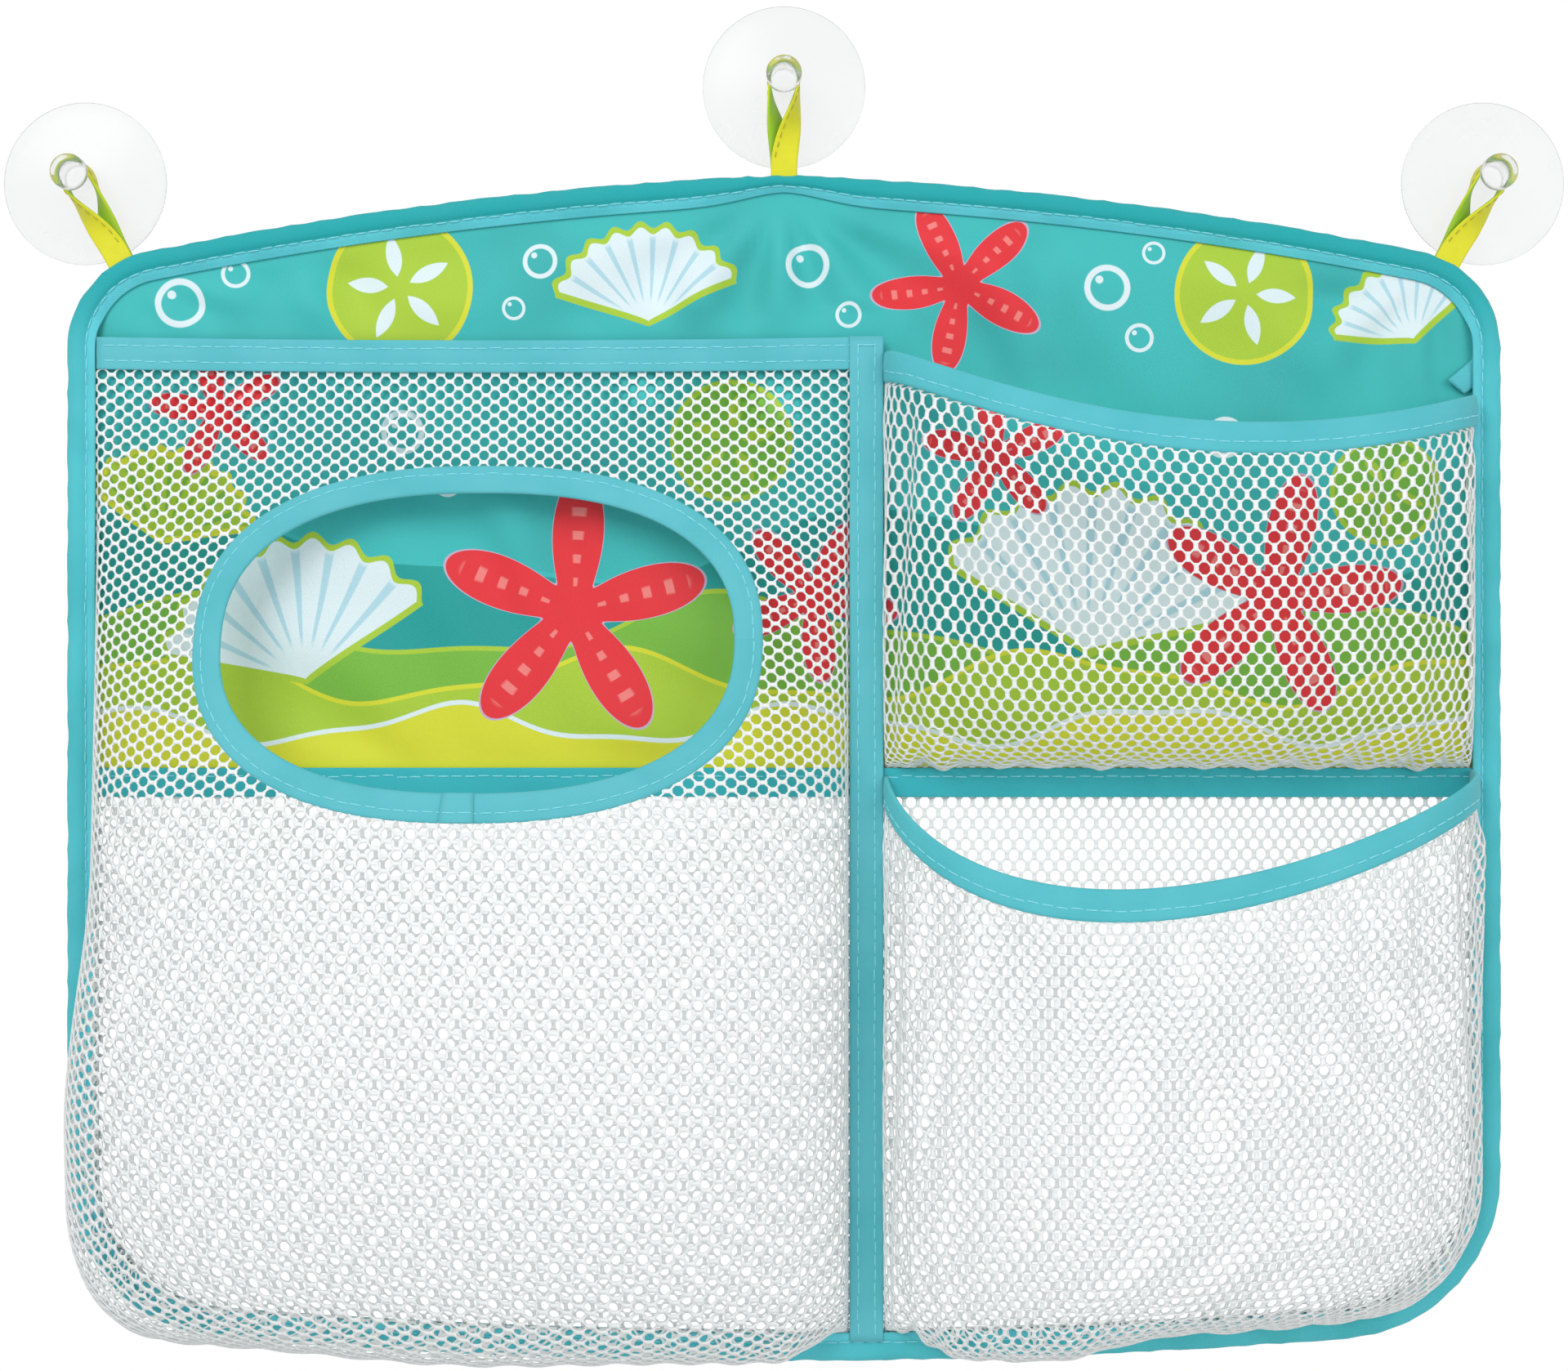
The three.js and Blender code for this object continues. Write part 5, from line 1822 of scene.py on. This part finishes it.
@dataclass
class OvalMouth:
    """The oval mouth of the large pocket: its outline, and the tape folded over the cut net."""

    x: float = -0.101
    z: float = -0.1914
    half_width: float = 0.094
    half_height: float = 0.059
    squareness: float = 2.4
    tape: float = 0.0095
    thickness: float = 0.0014
    crown: float = 0.0005
    stitch_share: float = 0.33
    lap_x: float = -0.0985
    lap_length: float = 0.013
    lap_thickness: float = 0.0007
    lap_gap: float = 0.0001
    lap_clear: float = 0.0004
    steps: int = 220

    def outline(self, margin: float) -> Array:
        """Points in x and z round the mouth, grown or shrunk by a margin."""
        turn = np.linspace(0, 2 * np.pi, self.steps, endpoint=False)
        way = joined(np.cos(turn), np.sin(turn))
        half = np.array([self.half_width, self.half_height]) + margin
        loop = [self.x, self.z] + half * np.sign(way) * np.abs(way) ** (2 / self.squareness)
        return Route(np.concatenate([loop, loop[:1]])).at(np.linspace(0, 1, self.steps, endpoint=False))

    def outside(self, place: Array, margin: float) -> Array:
        """Whether places lie outside the mouth, shrunk by a margin."""
        wide = np.abs(place[..., 0] - self.x) / (self.half_width - margin)
        high = np.abs(place[..., 2] - self.z) / (self.half_height - margin)
        return wide ** self.squareness + high ** self.squareness > 1

    def bind(self, wall: NetWall, shop: Workshop) -> None:
        """Makes the tape on the net's own curve, laps its two ends at the foot and sews it.

        Args:
            wall: the net's wall.
            shop: what the sub-assemblies share.
        """
        edges = []
        for margin in (0.0, -self.tape):
            flat = self.outline(margin)
            edges.append(joined(flat[:, 0], wall.depth_at(*flat.T), flat[:, 1]))
        row = (self.stitch_share,)
        tape = Ribbon(*edges, self.thickness, crown=self.crown, stitched_at=row, closed=True)
        piece = tape.shape().build("oval_mouth_tape")
        ride(dress(piece, shop.tape, Slot.TAPE, "oval_opening_binding"), Body.BAG)
        shop.stitching.row(*tape.line(self.stitch_share), closed=True)
        foot = edges[0][:, 2] < self.z
        over = foot & (np.abs(edges[0][:, 0] - self.lap_x + self.lap_length / 2) < self.lap_length / 2)
        normal = tape.facing()[over]
        lift = normal * (self.thickness / 2 + self.lap_gap)
        ends = (edge[over] + lift for edge in edges)
        lap = Ribbon(*ends, self.lap_thickness, crown=self.crown, stitched_at=row, normals=normal)
        piece = lap.shape().build("oval_mouth_tape_lap")
        ride(dress(piece, shop.tape, Slot.TAPE), Body.BAG)
        shop.stitching.row(*lap.line(self.stitch_share), clear=self.lap_clear)


@dataclass
class LargePocket:
    """The large left pocket: a net that swells downwards, sewn shut above and entered through the oval."""

    bag: BagFrame
    mouth: OvalMouth
    overhang: Overhang
    depth: float = 0.060
    drop: float = 0.245
    tape_gap: float = 0.0006
    net_under_tape: float = 0.0055
    cut_inset: float = 0.005
    gather: Ruffle = Ruffle(0.0013, 0.019)
    gather_wander: Ruffle = Ruffle(2.0, 0.08 * math.pi)
    gather_reach: float = 0.022
    dent_across: Ruffle = Ruffle(0.0016, 0.13, 0.5)
    dent_down: Ruffle = Ruffle(1.0, 0.17)
    dent_below: Pair = (0.16, 0.22)
    still_side: float = 0.05
    still_top: float = 0.03
    still_foot: float = 0.006

    def ripple(self, across: Array, down: Array, to_side: Array, to_foot: Array) -> Array:
        """Gathers along the foot and slow dents in the belly."""
        gather = self.gather.at(across, self.gather_wander.at(across)) * np.exp(-to_foot / self.gather_reach)
        dent = self.dent_across.at(across) * self.dent_down.at(down) * smooth_step(down, *self.dent_below)
        still = smooth_step(down, 0.0, self.still_top) * smooth_step(to_foot, 0.0, self.still_foot)
        return (gather + dent) * smooth_step(to_side, 0.0, self.still_side) * still

    def wall(self) -> NetWall:
        """The wall of the pocket."""
        bag = self.bag
        inset = bag.binding + bag.net_offset
        left_x = -bag.outline.half_width + inset
        right_x = bag.divider.low - bag.net_offset
        top = bag.top.low - self.tape_gap
        foot = bag.outline.foot(inset, -right_x, Side.LEFT)
        foot_z = float(foot.at(np.array([0.0]))[0, 1])
        return NetWall(
            left=bag.outline.side(inset, top, Side.LEFT).at,
            right=straight((right_x, top), (right_x, foot_z)),
            top=straight((left_x, top), (right_x, top)),
            bottom=lambda shares: foot.at(1 - np.asarray(shares)),
            seam_y=bag.left_seam_y,
            belly=Belly(top - foot_z, 0.0, self.depth, self.drop),
            ripple=self.ripple,
            top_hem=flat_hem(left_x, right_x, bag.left_seam_y, top),
            overhang=self.overhang,
        )

    def mouth_area(self) -> float:
        """Area that the mouth takes out of the net."""
        x, z = self.mouth.outline(-self.cut_inset).T
        return abs(float(np.sum(x * np.roll(z, -1) - np.roll(x, -1) * z))) / 2

    def build(self, shop: Workshop) -> None:
        wall = self.wall()
        covered = self.net_under_tape
        piece = shop.upright.knit("large_pocket_net", wall, lambda place: self.mouth.outside(place, covered))
        dress(piece, shop.net, Slot.NET, "left_pocket_net")
        self.mouth_area()
        ride(piece, Body.BAG)
        self.mouth.bind(wall, shop)


@dataclass
class BackNet:
    """The flat net behind the lower half."""

    bag: BagFrame
    wave: Ruffle = Ruffle(0.0009, 0.11)

    def ripple(self, across: Array, down: Array, to_side: Array, to_foot: Array) -> Array:
        """Slow waves that die out towards the band and the foot."""
        return self.wave.at(across) * np.sin(np.pi * down / (down + to_foot)) ** 2

    def foot(self, shares: Array) -> Array:
        """The foot from the left corner to the right one."""
        shares = np.asarray(shares)
        left, right = (self.bag.outline.foot(self.bag.binding, 0.0, side) for side in Side)
        outward = np.clip(np.abs(2 * shares - 1), 0, 1)
        return np.where(shares[..., None] < 0.5, left.at(outward), right.at(outward))

    def build(self, shop: Workshop) -> None:
        """Knits the net across the lower half."""
        bag = self.bag
        inset, top = bag.binding, bag.band.low
        x = bag.outline.half_width - inset
        height = top - bag.outline.bottom_z - inset
        wall = NetWall(
            left=bag.outline.side(inset, top, Side.LEFT).at,
            right=bag.outline.side(inset, top, Side.RIGHT).at,
            top=straight((-x, top), (x, top)),
            bottom=self.foot,
            seam_y=bag.back_net_y,
            belly=Belly(height, 0.0, 0.0, height / 2),
            ripple=self.ripple,
            top_hem=flat_hem(-x, x, bag.back_net_y, top),
        )
        piece = shop.turned.knit("back_panel_net", wall)
        dress(piece, shop.net, Slot.NET, "back_net")
        ride(piece, Body.BAG)


@dataclass
class SmallPocket:
    """An open-topped pocket on the right: a bound lip that sags forward, and a net below it."""

    place: str
    bag: BagFrame
    left_z: float
    right_z: float
    forward: float
    sag: float
    lowest: float
    depth: float
    drop: float
    foot_on_band: bool
    overhang: Overhang | None = None
    gather: float = 0.75
    side_hem: float = 0.0015
    lip_width: float = 0.0106
    lip_thickness: float = 0.0015
    lip_gap: float = 0.0006
    lip_offset: float = 0.0009
    tilt: float = math.radians(10)
    roundness: float = 2.3
    stitch_share: float = 0.66
    follow_depth: float = 0.72
    follow_rise: float = 0.36
    follow_sag: float = 1.5
    crown: float = 0.0004
    stitch_clear: float = 0.003
    fine_steps: int = 121
    stations: int = 90
    flute: Ruffle = Ruffle(0.0024, 0.027)
    flute_wander: Ruffle = Ruffle(1.5, 0.06 * math.pi)
    flute_reach: float = 0.06
    foot_gather: Ruffle = Ruffle(0.0013, 0.021, 0.7)
    foot_reach: float = 0.02
    pleat: Ruffle = Ruffle(0.0016, 0.0125)
    pleat_slant: float = 9.0
    pleat_reach: float = 0.024
    still_top: float = 0.012
    still_foot: float = 0.006
    still_side: float = 0.010

    def lip(self, shares: Array, down: float) -> Array:
        """Points of the lip at shares along it and a distance down its width.

        Args:
            shares: how far along, from left to right.
            down: distance down.

        Returns:
            The points.
        """
        bag = self.bag
        left = bag.divider.high + self.lip_offset
        right = bag.outline.half_width - bag.binding - self.lip_offset
        skewed = np.clip(shares, 0, 1) ** (math.log(0.5) / math.log(self.lowest))
        section = bulge(shares, self.roundness)
        lean = self.tilt * section
        y = bag.divider_y - self.forward * section - down * np.sin(lean)
        z = self.left_z + shares * (self.right_z - self.left_z)
        z = z - self.sag * bow(skewed) - down * np.cos(lean)
        return joined(left + shares * (right - left), y, z)

    def lip_tape(self) -> Ribbon:
        """The tape folded over the net's top edge."""
        fine = crowded(self.fine_steps, self.roundness)
        even = np.linspace(0, 1, self.stations)
        edges = (Route(self.lip(fine, down)).at(even) for down in (0.0, self.lip_width))
        return Ribbon(*edges, self.lip_thickness, crown=self.crown, stitched_at=(self.stitch_share,))

    def ripple(self, across: Array, down: Array, to_side: Array, to_foot: Array) -> Array:
        """Flutes that hang from the lip, pleats beside the side seams and gathers along the foot."""
        flute = self.flute.at(across, self.flute_wander.at(across)) * np.exp(-down / self.flute_reach)
        low = self.foot_gather.at(across) * np.exp(-to_foot / self.foot_reach)
        slant = self.pleat_slant * down / (down + to_foot)
        pleat = self.pleat.at(to_side, slant) * np.exp(-to_side / self.pleat_reach)
        still = smooth_step(down, 0.0, self.still_top) * smooth_step(to_foot, 0.0, self.still_foot)
        return (flute + low + pleat) * still * smooth_step(to_side, 0.0, self.still_side)

    def wall(self) -> NetWall:
        """The wall of the pocket's net."""
        bag = self.bag
        inset = bag.binding + bag.net_offset
        left_x = bag.divider.high + bag.net_offset
        right_x = bag.outline.half_width - inset
        down = self.lip_width + self.lip_gap

        def top(shares: Array) -> Array:
            """The net's top edge, just under the lip."""
            shares = np.asarray(shares)
            return joined(left_x + shares * (right_x - left_x), self.lip(shares, down)[..., 2])

        left_top, right_top = (float(z) for z in top(np.array([0.0, 1.0]))[:, 1])
        if self.foot_on_band:
            foot_z = bag.band.high + bag.net_offset
            bottom = straight((left_x, foot_z), (right_x, foot_z))
            right = straight((right_x, right_top), (right_x, foot_z))
        else:
            bottom = bag.outline.foot(inset, left_x, Side.RIGHT).at
            foot_z = float(bottom(np.array([0.0]))[0, 1])
            right = bag.outline.side(inset, right_top, Side.RIGHT).at
        middle = self.lip(np.array([0.5]), down)[0]
        return NetWall(
            left=straight((left_x, left_top), (left_x, foot_z)),
            right=right,
            top=top,
            bottom=bottom,
            seam_y=bag.right_seam_y,
            belly=Belly(middle[2] - foot_z, bag.right_seam_y - middle[1], self.depth, self.drop),
            ripple=self.ripple,
            top_hem=lambda shares, up: self.lip(shares, self.lip_width - up),
            overhang=self.overhang,
            gather=self.gather,
            side_hem=self.side_hem,
        )

    def build(self, shop: Workshop) -> None:
        """Makes the lip with its stitches, and the net."""
        body = Body(f"{self.place}_lip")
        lip_node = f"{self.place}_right_lip"
        tape = self.lip_tape()
        piece = tape.shape().build(f"{self.place}_pocket_lip_tape")
        ride(dress(piece, shop.lip, Slot.TAPE, lip_node), body)
        sewing = Stitching()
        sewing.row(*tape.line(self.stitch_share), clear=self.stitch_clear)
        thread = sewing.build(f"{self.place}_pocket_lip_stitches")
        ride(dress(thread, shop.thread, Slot.TAPE), body)
        wall = self.wall()
        net = shop.turned.knit(f"{self.place}_pocket_net", wall)
        dress(net, shop.net, Slot.NET, f"{self.place}_right_pocket_net")
        middle = self.lip(np.array([0.5]), 0.0)[0]
        blend(net, Body.BAG, body)


@dataclass
class LipTuck:
    """The end of the upper lip's tape, folded back on itself where it is caught under the binding."""

    bag: BagFrame
    tip: Pair = (0.2258, -0.1025)
    top: Pair = (0.2362, -0.0938)
    low: Pair = (0.2362, -0.1042)
    foot: Pair = (0.2314, -0.1072)
    thickness: float = 0.0009
    crown: float = 0.0004
    lean: float = 0.0008
    lean_ease: float = 1.5
    steps: int = 12

    def edge(self, start: Pair, end: Pair) -> Array:
        """One edge of the fold, from under the binding outwards, leaning forward as it goes."""
        share = np.linspace(0, 1, self.steps)
        x, z = straight(start, end)(share).T
        return joined(x, self.bag.right_seam_y - self.lean * share ** self.lean_ease, z)

    def build(self, shop: Workshop) -> None:
        """Makes the fold and lets it ride on the bag."""
        edges = self.edge(self.top, self.tip), self.edge(self.low, self.foot)
        fold = Ribbon(*edges, self.thickness, crown=self.crown)
        ride(dress(fold.shape().build("upper_pocket_lip_tuck"), shop.lip, Slot.TAPE), Body.BAG)


class BagStitches:
    """All the rows that the bag's tapes were sewn with, as one piece."""

    def build(self, shop: Workshop) -> None:
        """Makes one piece of the rows that were sewn so far."""
        ride(dress(shop.stitching.build("bag_stitches"), shop.thread, Slot.TAPE), Body.BAG)


@dataclass
class SuctionCup:
    """A clear cup: flat rim on the wall, shallow hollow, dome, neck and rounded head."""

    name: str
    diameter: float = 0.056
    rim_width: float = 0.004
    rim: float = 0.0009
    hollow: float = 0.0022
    rise: float = 0.005
    neck: float = 0.008
    neck_length: float = 0.0105
    head: float = 0.012
    head_length: float = 0.005
    rounding: float = 0.002
    rim_round: float = 0.0003
    rim_ease: float = 0.0002
    dome_inset: float = 0.0006
    shoulder: float = 0.0016
    neck_flare: float = 0.0002
    fillet: float = 0.0006
    head_round: float = 0.0005
    hollow_steps: int = 12
    dome_steps: int = 22
    crown_steps: int = 9
    segments: int = 96

    def profile(self) -> Array:
        """Radius and distance from the wall, from the middle of the hollow to the middle of the head."""
        edge, neck, head = self.diameter / 2, self.neck / 2, self.head / 2
        inner = edge - self.rim_width
        hollow = bezier([(0.0, self.hollow), (inner / 2, self.hollow), (inner, 0.0)], self.hollow_steps)
        soft = edge - self.rim_round
        lip = [(soft, 0.0), (edge, self.rim_round), (edge, self.rim - self.rim_ease), (soft, self.rim)]
        shoulder = self.rise - self.shoulder
        dome = bezier([(edge - self.dome_inset, self.rim), (edge / 2, shoulder),
                       (neck + self.neck_flare, shoulder), (neck, self.rise)], self.dome_steps)
        back = self.rise + self.neck_length
        front = back + self.head_length
        bend = self.head_round
        under = [(neck, back - self.fillet), (neck + bend, back), (head - bend, back), (head, back + bend)]
        turn = np.linspace(0, np.pi / 2, self.crown_steps)
        round_off = self.rounding * (1 - joined(np.cos(turn), np.sin(turn)))
        return np.concatenate([hollow, lip, dome, under, [head, front] - round_off, [(0.0, front)]])

    def build(self, shop: Workshop) -> None:
        """Turns the cup about its neck, where the frame has it."""
        node = f"{self.name}_suction_cup"
        low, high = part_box(node)
        centre = (low + high) / 2
        profile = self.profile()
        turns = np.arange(self.segments) * 2 * np.pi / self.segments
        radius, depth = profile[1:-1].T[..., None]
        poles = joined(centre.x, -profile[[0, -1], 1], centre.z)
        wheel = joined(centre.x + radius * np.sin(turns), -depth, centre.z + radius * np.cos(turns))
        index = len(poles) + np.arange(wheel[..., 0].size).reshape(-1, self.segments)
        after = np.roll(index, -1, axis=1)
        faces = joined(index[:-1], index[1:], after[1:], after[:-1]).reshape(-1, 4).tolist()
        faces += joined(0, index[0], after[0]).tolist() + joined(1, after[-1], index[-1]).tolist()
        solid = np.concatenate([poles, wheel.reshape(-1, 3)])
        piece = Shape(solid, [tuple(face) for face in faces]).build(f"{self.name}_clear_cup")
        ride(dress(piece, shop.vinyl, Slot.VINYL, node), Body(f"{self.name}_cup"))


@dataclass
class HangingLoop:
    """A loop of folded tape: flat where it is sewn in, turned on edge where it wraps the cup's neck.

    Its front leg passes on the left of the neck where hand is 1, and on the right where it is -1.
    """

    name: str
    lean: float
    hand: float
    width: float = 0.009
    thickness: float = 0.0012
    reach: float = 0.0306
    fold: float = 0.0009
    wrap: float = 0.0049
    tail: float = 0.0045
    leg_steps: int = 30
    wrap_steps: int = 24
    tail_steps: int = 8
    groove: float = 0.0001
    stitch_margin: float = 0.16
    stitch_clear: float = 0.0005
    bare_start: int = 6
    bare_end: int = 14
    still_below: float = 0.001
    follows_above: float = 0.003

    def leg(self, side: float, rise: Array) -> tuple[Array, Array, Array]:
        """Middle, twist and outward direction at shares of the way up one leg, from its sewn tail.

        Args:
            side: -1 for the leg that starts in front, 1 for the other.
            rise: shares of the way up.

        Returns:
            Points, angles and directions.
        """
        height = -self.tail + (self.reach + self.tail) * rise
        eased = smooth_step(height, 0.0, self.reach)
        twist = eased * np.pi / 2
        middle = joined(side * self.wrap * eased, side * self.fold * (1 - eased), height)
        return middle, twist, side * joined(np.sin(twist), np.cos(twist), 0.0)

    def stations(self) -> tuple[Array, Array, Array]:
        """Middle, width direction and outward direction at each station, upright about the seam."""
        rise = np.arange(self.leg_steps) / self.leg_steps
        fall = 1 - np.arange(1, self.leg_steps + 1) / self.leg_steps
        over = np.linspace(0, np.pi, self.wrap_steps + 1)
        out = joined(-np.cos(over), 0.0, np.sin(over))
        wrap = (self.wrap * out + [0.0, 0.0, self.reach], np.full(len(out), np.pi / 2), out)
        under = np.linspace(0, np.pi, self.tail_steps + 1)[1:-1]
        down = joined(0.0, np.cos(under), -np.sin(under))
        tail = (self.fold * down - [0.0, 0.0, self.tail], np.zeros(len(down)), down)
        runs = (self.leg(-1.0, rise), wrap, self.leg(1.0, fall), tail)
        middle, twist, normal = (np.concatenate(part) for part in zip(*runs))
        mirror = np.array([self.hand, 1.0, 1.0])
        across = joined(np.cos(twist), -self.hand * np.sin(twist), 0.0)
        return middle * mirror, across, normal * mirror

    def build(self, shop: Workshop) -> None:
        """Makes the loop where the frame's joint is."""
        body = Body(f"{self.name}_hanger")
        joint = next(j for j in frame["joints"] if j["name"] == f"{self.name}_loop_swing")
        seat = np.array(joint["pos_m"], float)
        c, s = math.cos(self.lean), math.sin(self.lean)
        turn = np.array([[c, 0.0, s], [0.0, 1.0, 0.0], [-s, 0.0, c]])
        middles, acrosses, normals = (part @ turn.T for part in self.stations())
        half = acrosses * self.width / 2
        margin = self.stitch_margin if self.hand < 0 else 1 - self.stitch_margin
        tape = Ribbon(seat + middles - half, seat + middles + half, self.thickness, crown=0.0,
                      groove=self.groove, stitched_at=(margin,), closed=True, normals=normals)
        piece = tape.shape().build(f"{self.name}_loop_tape")
        dress(piece, shop.loop, Slot.LOOP, f"{self.name}_loop")
        blend(piece, Body.BAG, body)
        line, facing = tape.line(margin)
        free = slice(self.bare_start, len(line) - self.bare_end)
        sewing = Stitching(length=0.0022, gap=0.0011, radius=0.00022)
        sewing.row(line[free], facing[free], clear=self.stitch_clear)
        ride(dress(sewing.build(f"{self.name}_loop_stitches"), shop.loop_thread, Slot.LOOP), body)


@dataclass
class Studio:
    """Pale floor, white surroundings, soft lamps and the camera in front of the bag."""

    distance: float = 0.72
    scale: float = 0.00028
    scale_depth: float = 0.006
    eye_z: float = -0.2064
    sensor: float = 36.0
    nearest: float = 0.01
    ambient: float = 0.5
    aim_y: float = -0.02
    floor_half: float = 1.6
    floor_front: float = -2.2
    floor_back: float = 0.5
    floor_z: float = -0.75
    floor_colour: Colour = (0.86, 0.87, 0.87)

    def camera(self) -> None:
        """Stands the camera square to the wall, its scale true a little in front of the wall."""
        data = bpy.data.cameras.new("camera")
        data.sensor_width = self.sensor
        data.lens = self.sensor * (self.distance - self.scale_depth) / (PHOTO_SIZE[0] * self.scale)
        data.clip_start = self.nearest
        camera = bpy.data.objects.new("camera", data)
        camera.location = (0.0, -self.distance, self.eye_z)
        camera.rotation_euler = (math.pi / 2, 0.0, 0.0)
        bpy.context.scene.collection.objects.link(camera)
        bpy.context.scene.camera = camera

    def world(self) -> None:
        """White surroundings for the camera and for what is seen in or through the pieces."""
        nodes = Nodes("surroundings", world=True)
        bpy.context.scene.world = nodes.owner
        path = nodes.add("LightPath")
        seen = path.outputs["Is Camera Ray"]
        for name in ("Is Glossy Ray", "Is Transmission Ray"):
            seen = nodes.math("MAXIMUM", seen, path.outputs[name])
        nodes.set(Color=(1.0, 1.0, 1.0), Strength=nodes.scaled(seen, 1.0 - self.ambient, self.ambient))

    def lamp(self, name: str, place: Sequence[float], size: float, power: float) -> None:
        """A square soft lamp turned towards the middle of the bag.

        Args:
            name: name of the lamp.
            place: where it stands.
            size: length of its side.
            power: its power in watts.
        """
        data = bpy.data.lights.new(name, "AREA")
        data.size = size
        data.energy = power
        lamp = bpy.data.objects.new(name, data)
        lamp.location = place
        aim = np.array([0.0, self.aim_y, self.eye_z]) - np.array(place)
        tilt = math.acos(-aim[2] / np.linalg.norm(aim))
        lamp.rotation_euler = (tilt, 0.0, math.atan2(aim[1], aim[0]) - math.pi / 2)
        bpy.context.scene.collection.objects.link(lamp)

    def floor(self) -> None:
        """A pale floor below the hanging bag."""
        x = self.floor_half * np.array([-1, 1, 1, -1])
        y = [self.floor_front, self.floor_front, self.floor_back, self.floor_back]
        piece = Shape(joined(x, y, self.floor_z), [(0, 1, 2, 3)]).build("floor")
        nodes = Nodes("pale_floor")
        nodes.set(Base_Color=self.floor_colour, Roughness=0.8)
        piece.data.materials.append(nodes.owner)

    def build(self) -> None:
        """Sets up the whole stage."""
        bpy.context.scene.view_settings.view_transform = "Standard"
        self.camera()
        self.world()
        self.lamp("key_lamp", place=(-0.7, -1.3, 0.75), size=0.9, power=12.5)
        self.lamp("fill_lamp", place=(0.9, -1.2, 0.1), size=1.0, power=5.5)
        self.floor()


def main() -> None:
    """Builds the organizer piece by piece."""
    logging.basicConfig(level=logging.INFO, format="%(message)s")
    Studio().build()
    bag = BagFrame()
    peak = bag.outline.peak_z
    lean = math.radians(28)
    loops = [
        HangingLoop("left", lean=-lean, hand=1.0),
        HangingLoop("top", lean=0.0, hand=-1.0),
        HangingLoop("right", lean=lean, hand=-1.0),
    ]
    small_pockets = [
        SmallPocket("upper", bag, left_z=peak - 0.061, right_z=peak - 0.076, forward=0.034, sag=0.0195,
                    lowest=0.5, depth=0.042, drop=0.062, foot_on_band=True),
        SmallPocket("lower", bag, left_z=peak - 0.2045, right_z=peak - 0.2025, forward=0.046, sag=0.035,
                    lowest=0.36, depth=0.055, drop=0.098, foot_on_band=False,
                    overhang=Overhang(0.0, 0.0078, foot_rise=(0.04, 0.12), foot_fall=(0.25, 0.5))),
    ]
    assemblies: list[SubAssembly] = [
        PrintedPanel(bag),
        BackNet(bag),
        PerimeterBinding(bag),
        FlatTapes(bag),
        LargePocket(bag, OvalMouth(), Overhang(side=0.0098, foot=0.0092)),
        *small_pockets,
        LipTuck(bag),
        BagStitches(),
        *loops,
        *(SuctionCup(loop.name) for loop in loops),
    ]
    shop = Workshop(loops[0].width)
    for assembly in assemblies:
        assembly.build(shop)


if __name__ == "__main__":
    main()
